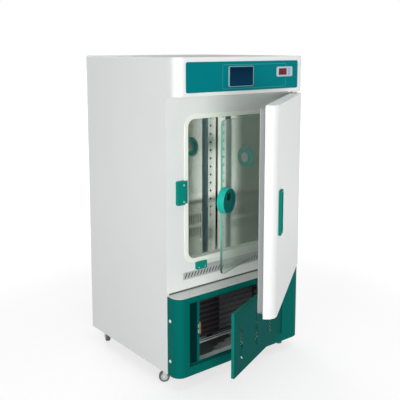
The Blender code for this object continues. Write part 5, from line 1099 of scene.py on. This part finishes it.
copper_runs = [
    [(-120, 60, 150), (-120, 0, 150), (-120, 0, 215), (-150, -150, 232), (-178, -212, 232)],
    [(-100, 130, 150), (-60, 130, 150), (-60, 130, 230), (-20, 150, 230), (-20, 150, 292)],
    [(160, -205, 78), (160, -120, 78), (160, 40, 78), (160, 40, 110)],
    [(160, 40, 186), (160, 40, 230), (30, 150, 230), (30, 150, 292)],
]
copper = merged([pipe(run, PIPE) for run in copper_runs])
piece("copper_pipes", copper, "cabinet", COPPER)
drier = pipe([(160, 40, 110), (160, 40, 186)], DRIER, 20)
piece("filter_drier", drier, "cabinet", COPPER)
CABLE = coated("black_cable", (0.015, 0.015, 0.016), 0.5, grain=900.0, height=0.02 * MM)
# The first run has no thickness: its first bend is as long as its first length.
cable_runs = [
    [(-146, 24, 82), (-146, 10, 82), (-200, 10, 60), (-200, 200, 60), (-200, 235, 60), (-200, 235, 250)],
    [(-15, -124, 150), (-15, -90, 150), (-15, -90, 200), (-200, 235, 200)],
]
cables = merged([pipe(run, CABLE_RADIUS, 10) for run in cable_runs])
piece("machine_cables", cables, "cabinet", CABLE)

# Casters
# A zinc-plated plate bolted under the pan, a bent fork that swivels on it, and a grey moulded
# wheel with a pale hub that rolls on an axle.
TYRE = coated("grey_tyre", (0.085, 0.085, 0.09), 0.6, grain=700.0, height=0.03 * MM)
HUB = coated("pale_grey_hub", (0.42, 0.43, 0.44), 0.45, grain=900.0, height=0.015 * MM)
HUB_SHARE = 0.66                  # of the wheel's radius
HUB_DOME = 0.9 * MM
HUB_SUNK = 0.1 * MM
AXLE_HEAD = 4.2 * MM
AXLE_DOME = 2.2 * MM
BOLT_INSET = 9 * MM
for place in ("front_left", "front_right", "rear_left", "rear_right"):
    softened("caster_plate_" + place, "cabinet", ZINC, 0.4 * MM)
    softened("caster_fork_" + place, "fork_" + place, ZINC, 0.4 * MM)
    wheel = softened("caster_wheel_" + place, "wheel_" + place, TYRE, 0.5 * MM)
    wheel_low, wheel_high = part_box("caster_wheel_" + place)
    centre = (wheel_low + wheel_high) / 2
    radius = (wheel_high.z - wheel_low.z) / 2
    tread_top = [vert.co - centre for vert in wheel.data.vertices if (vert.co - centre).z > 0.98 * radius]
    widest = max(tread_top, key=lambda point: math.hypot(point.x, point.y))
    axle = Vector((widest.x, widest.y, 0)).normalized()
    half = max((vert.co - centre).dot(axle) for vert in wheel.data.vertices)
    hubs = [domed_cap(centre + axle * side * (half - HUB_SUNK), axle * side, HUB_SHARE * radius, HUB_DOME)
            for side in (-1, 1)]
    piece("caster_hubs_" + place, merged(hubs), "wheel_" + place, HUB)
    fork = nodes["caster_fork_" + place].data.vertices
    reach = max((vert.co - centre).dot(axle) for vert in fork if vert.co.z < centre.z + 2 * MM)
    heads = [domed_cap(centre + axle * side * reach, axle * side, AXLE_HEAD, AXLE_DOME)
             for side in (-1, 1)]
    piece("caster_axle_heads_" + place, merged(heads), "fork_" + place, ZINC)
    plate_low, plate_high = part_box("caster_plate_" + place)
    screws("caster_bolts_" + place, "cabinet",
           [(x, y, plate_low.z) for x in (plate_low.x + BOLT_INSET, plate_high.x - BOLT_INSET)
            for y in (plate_low.y + BOLT_INSET, plate_high.y - BOLT_INSET)],
           (0, 0, -1), 3.4 * MM, ZINC)
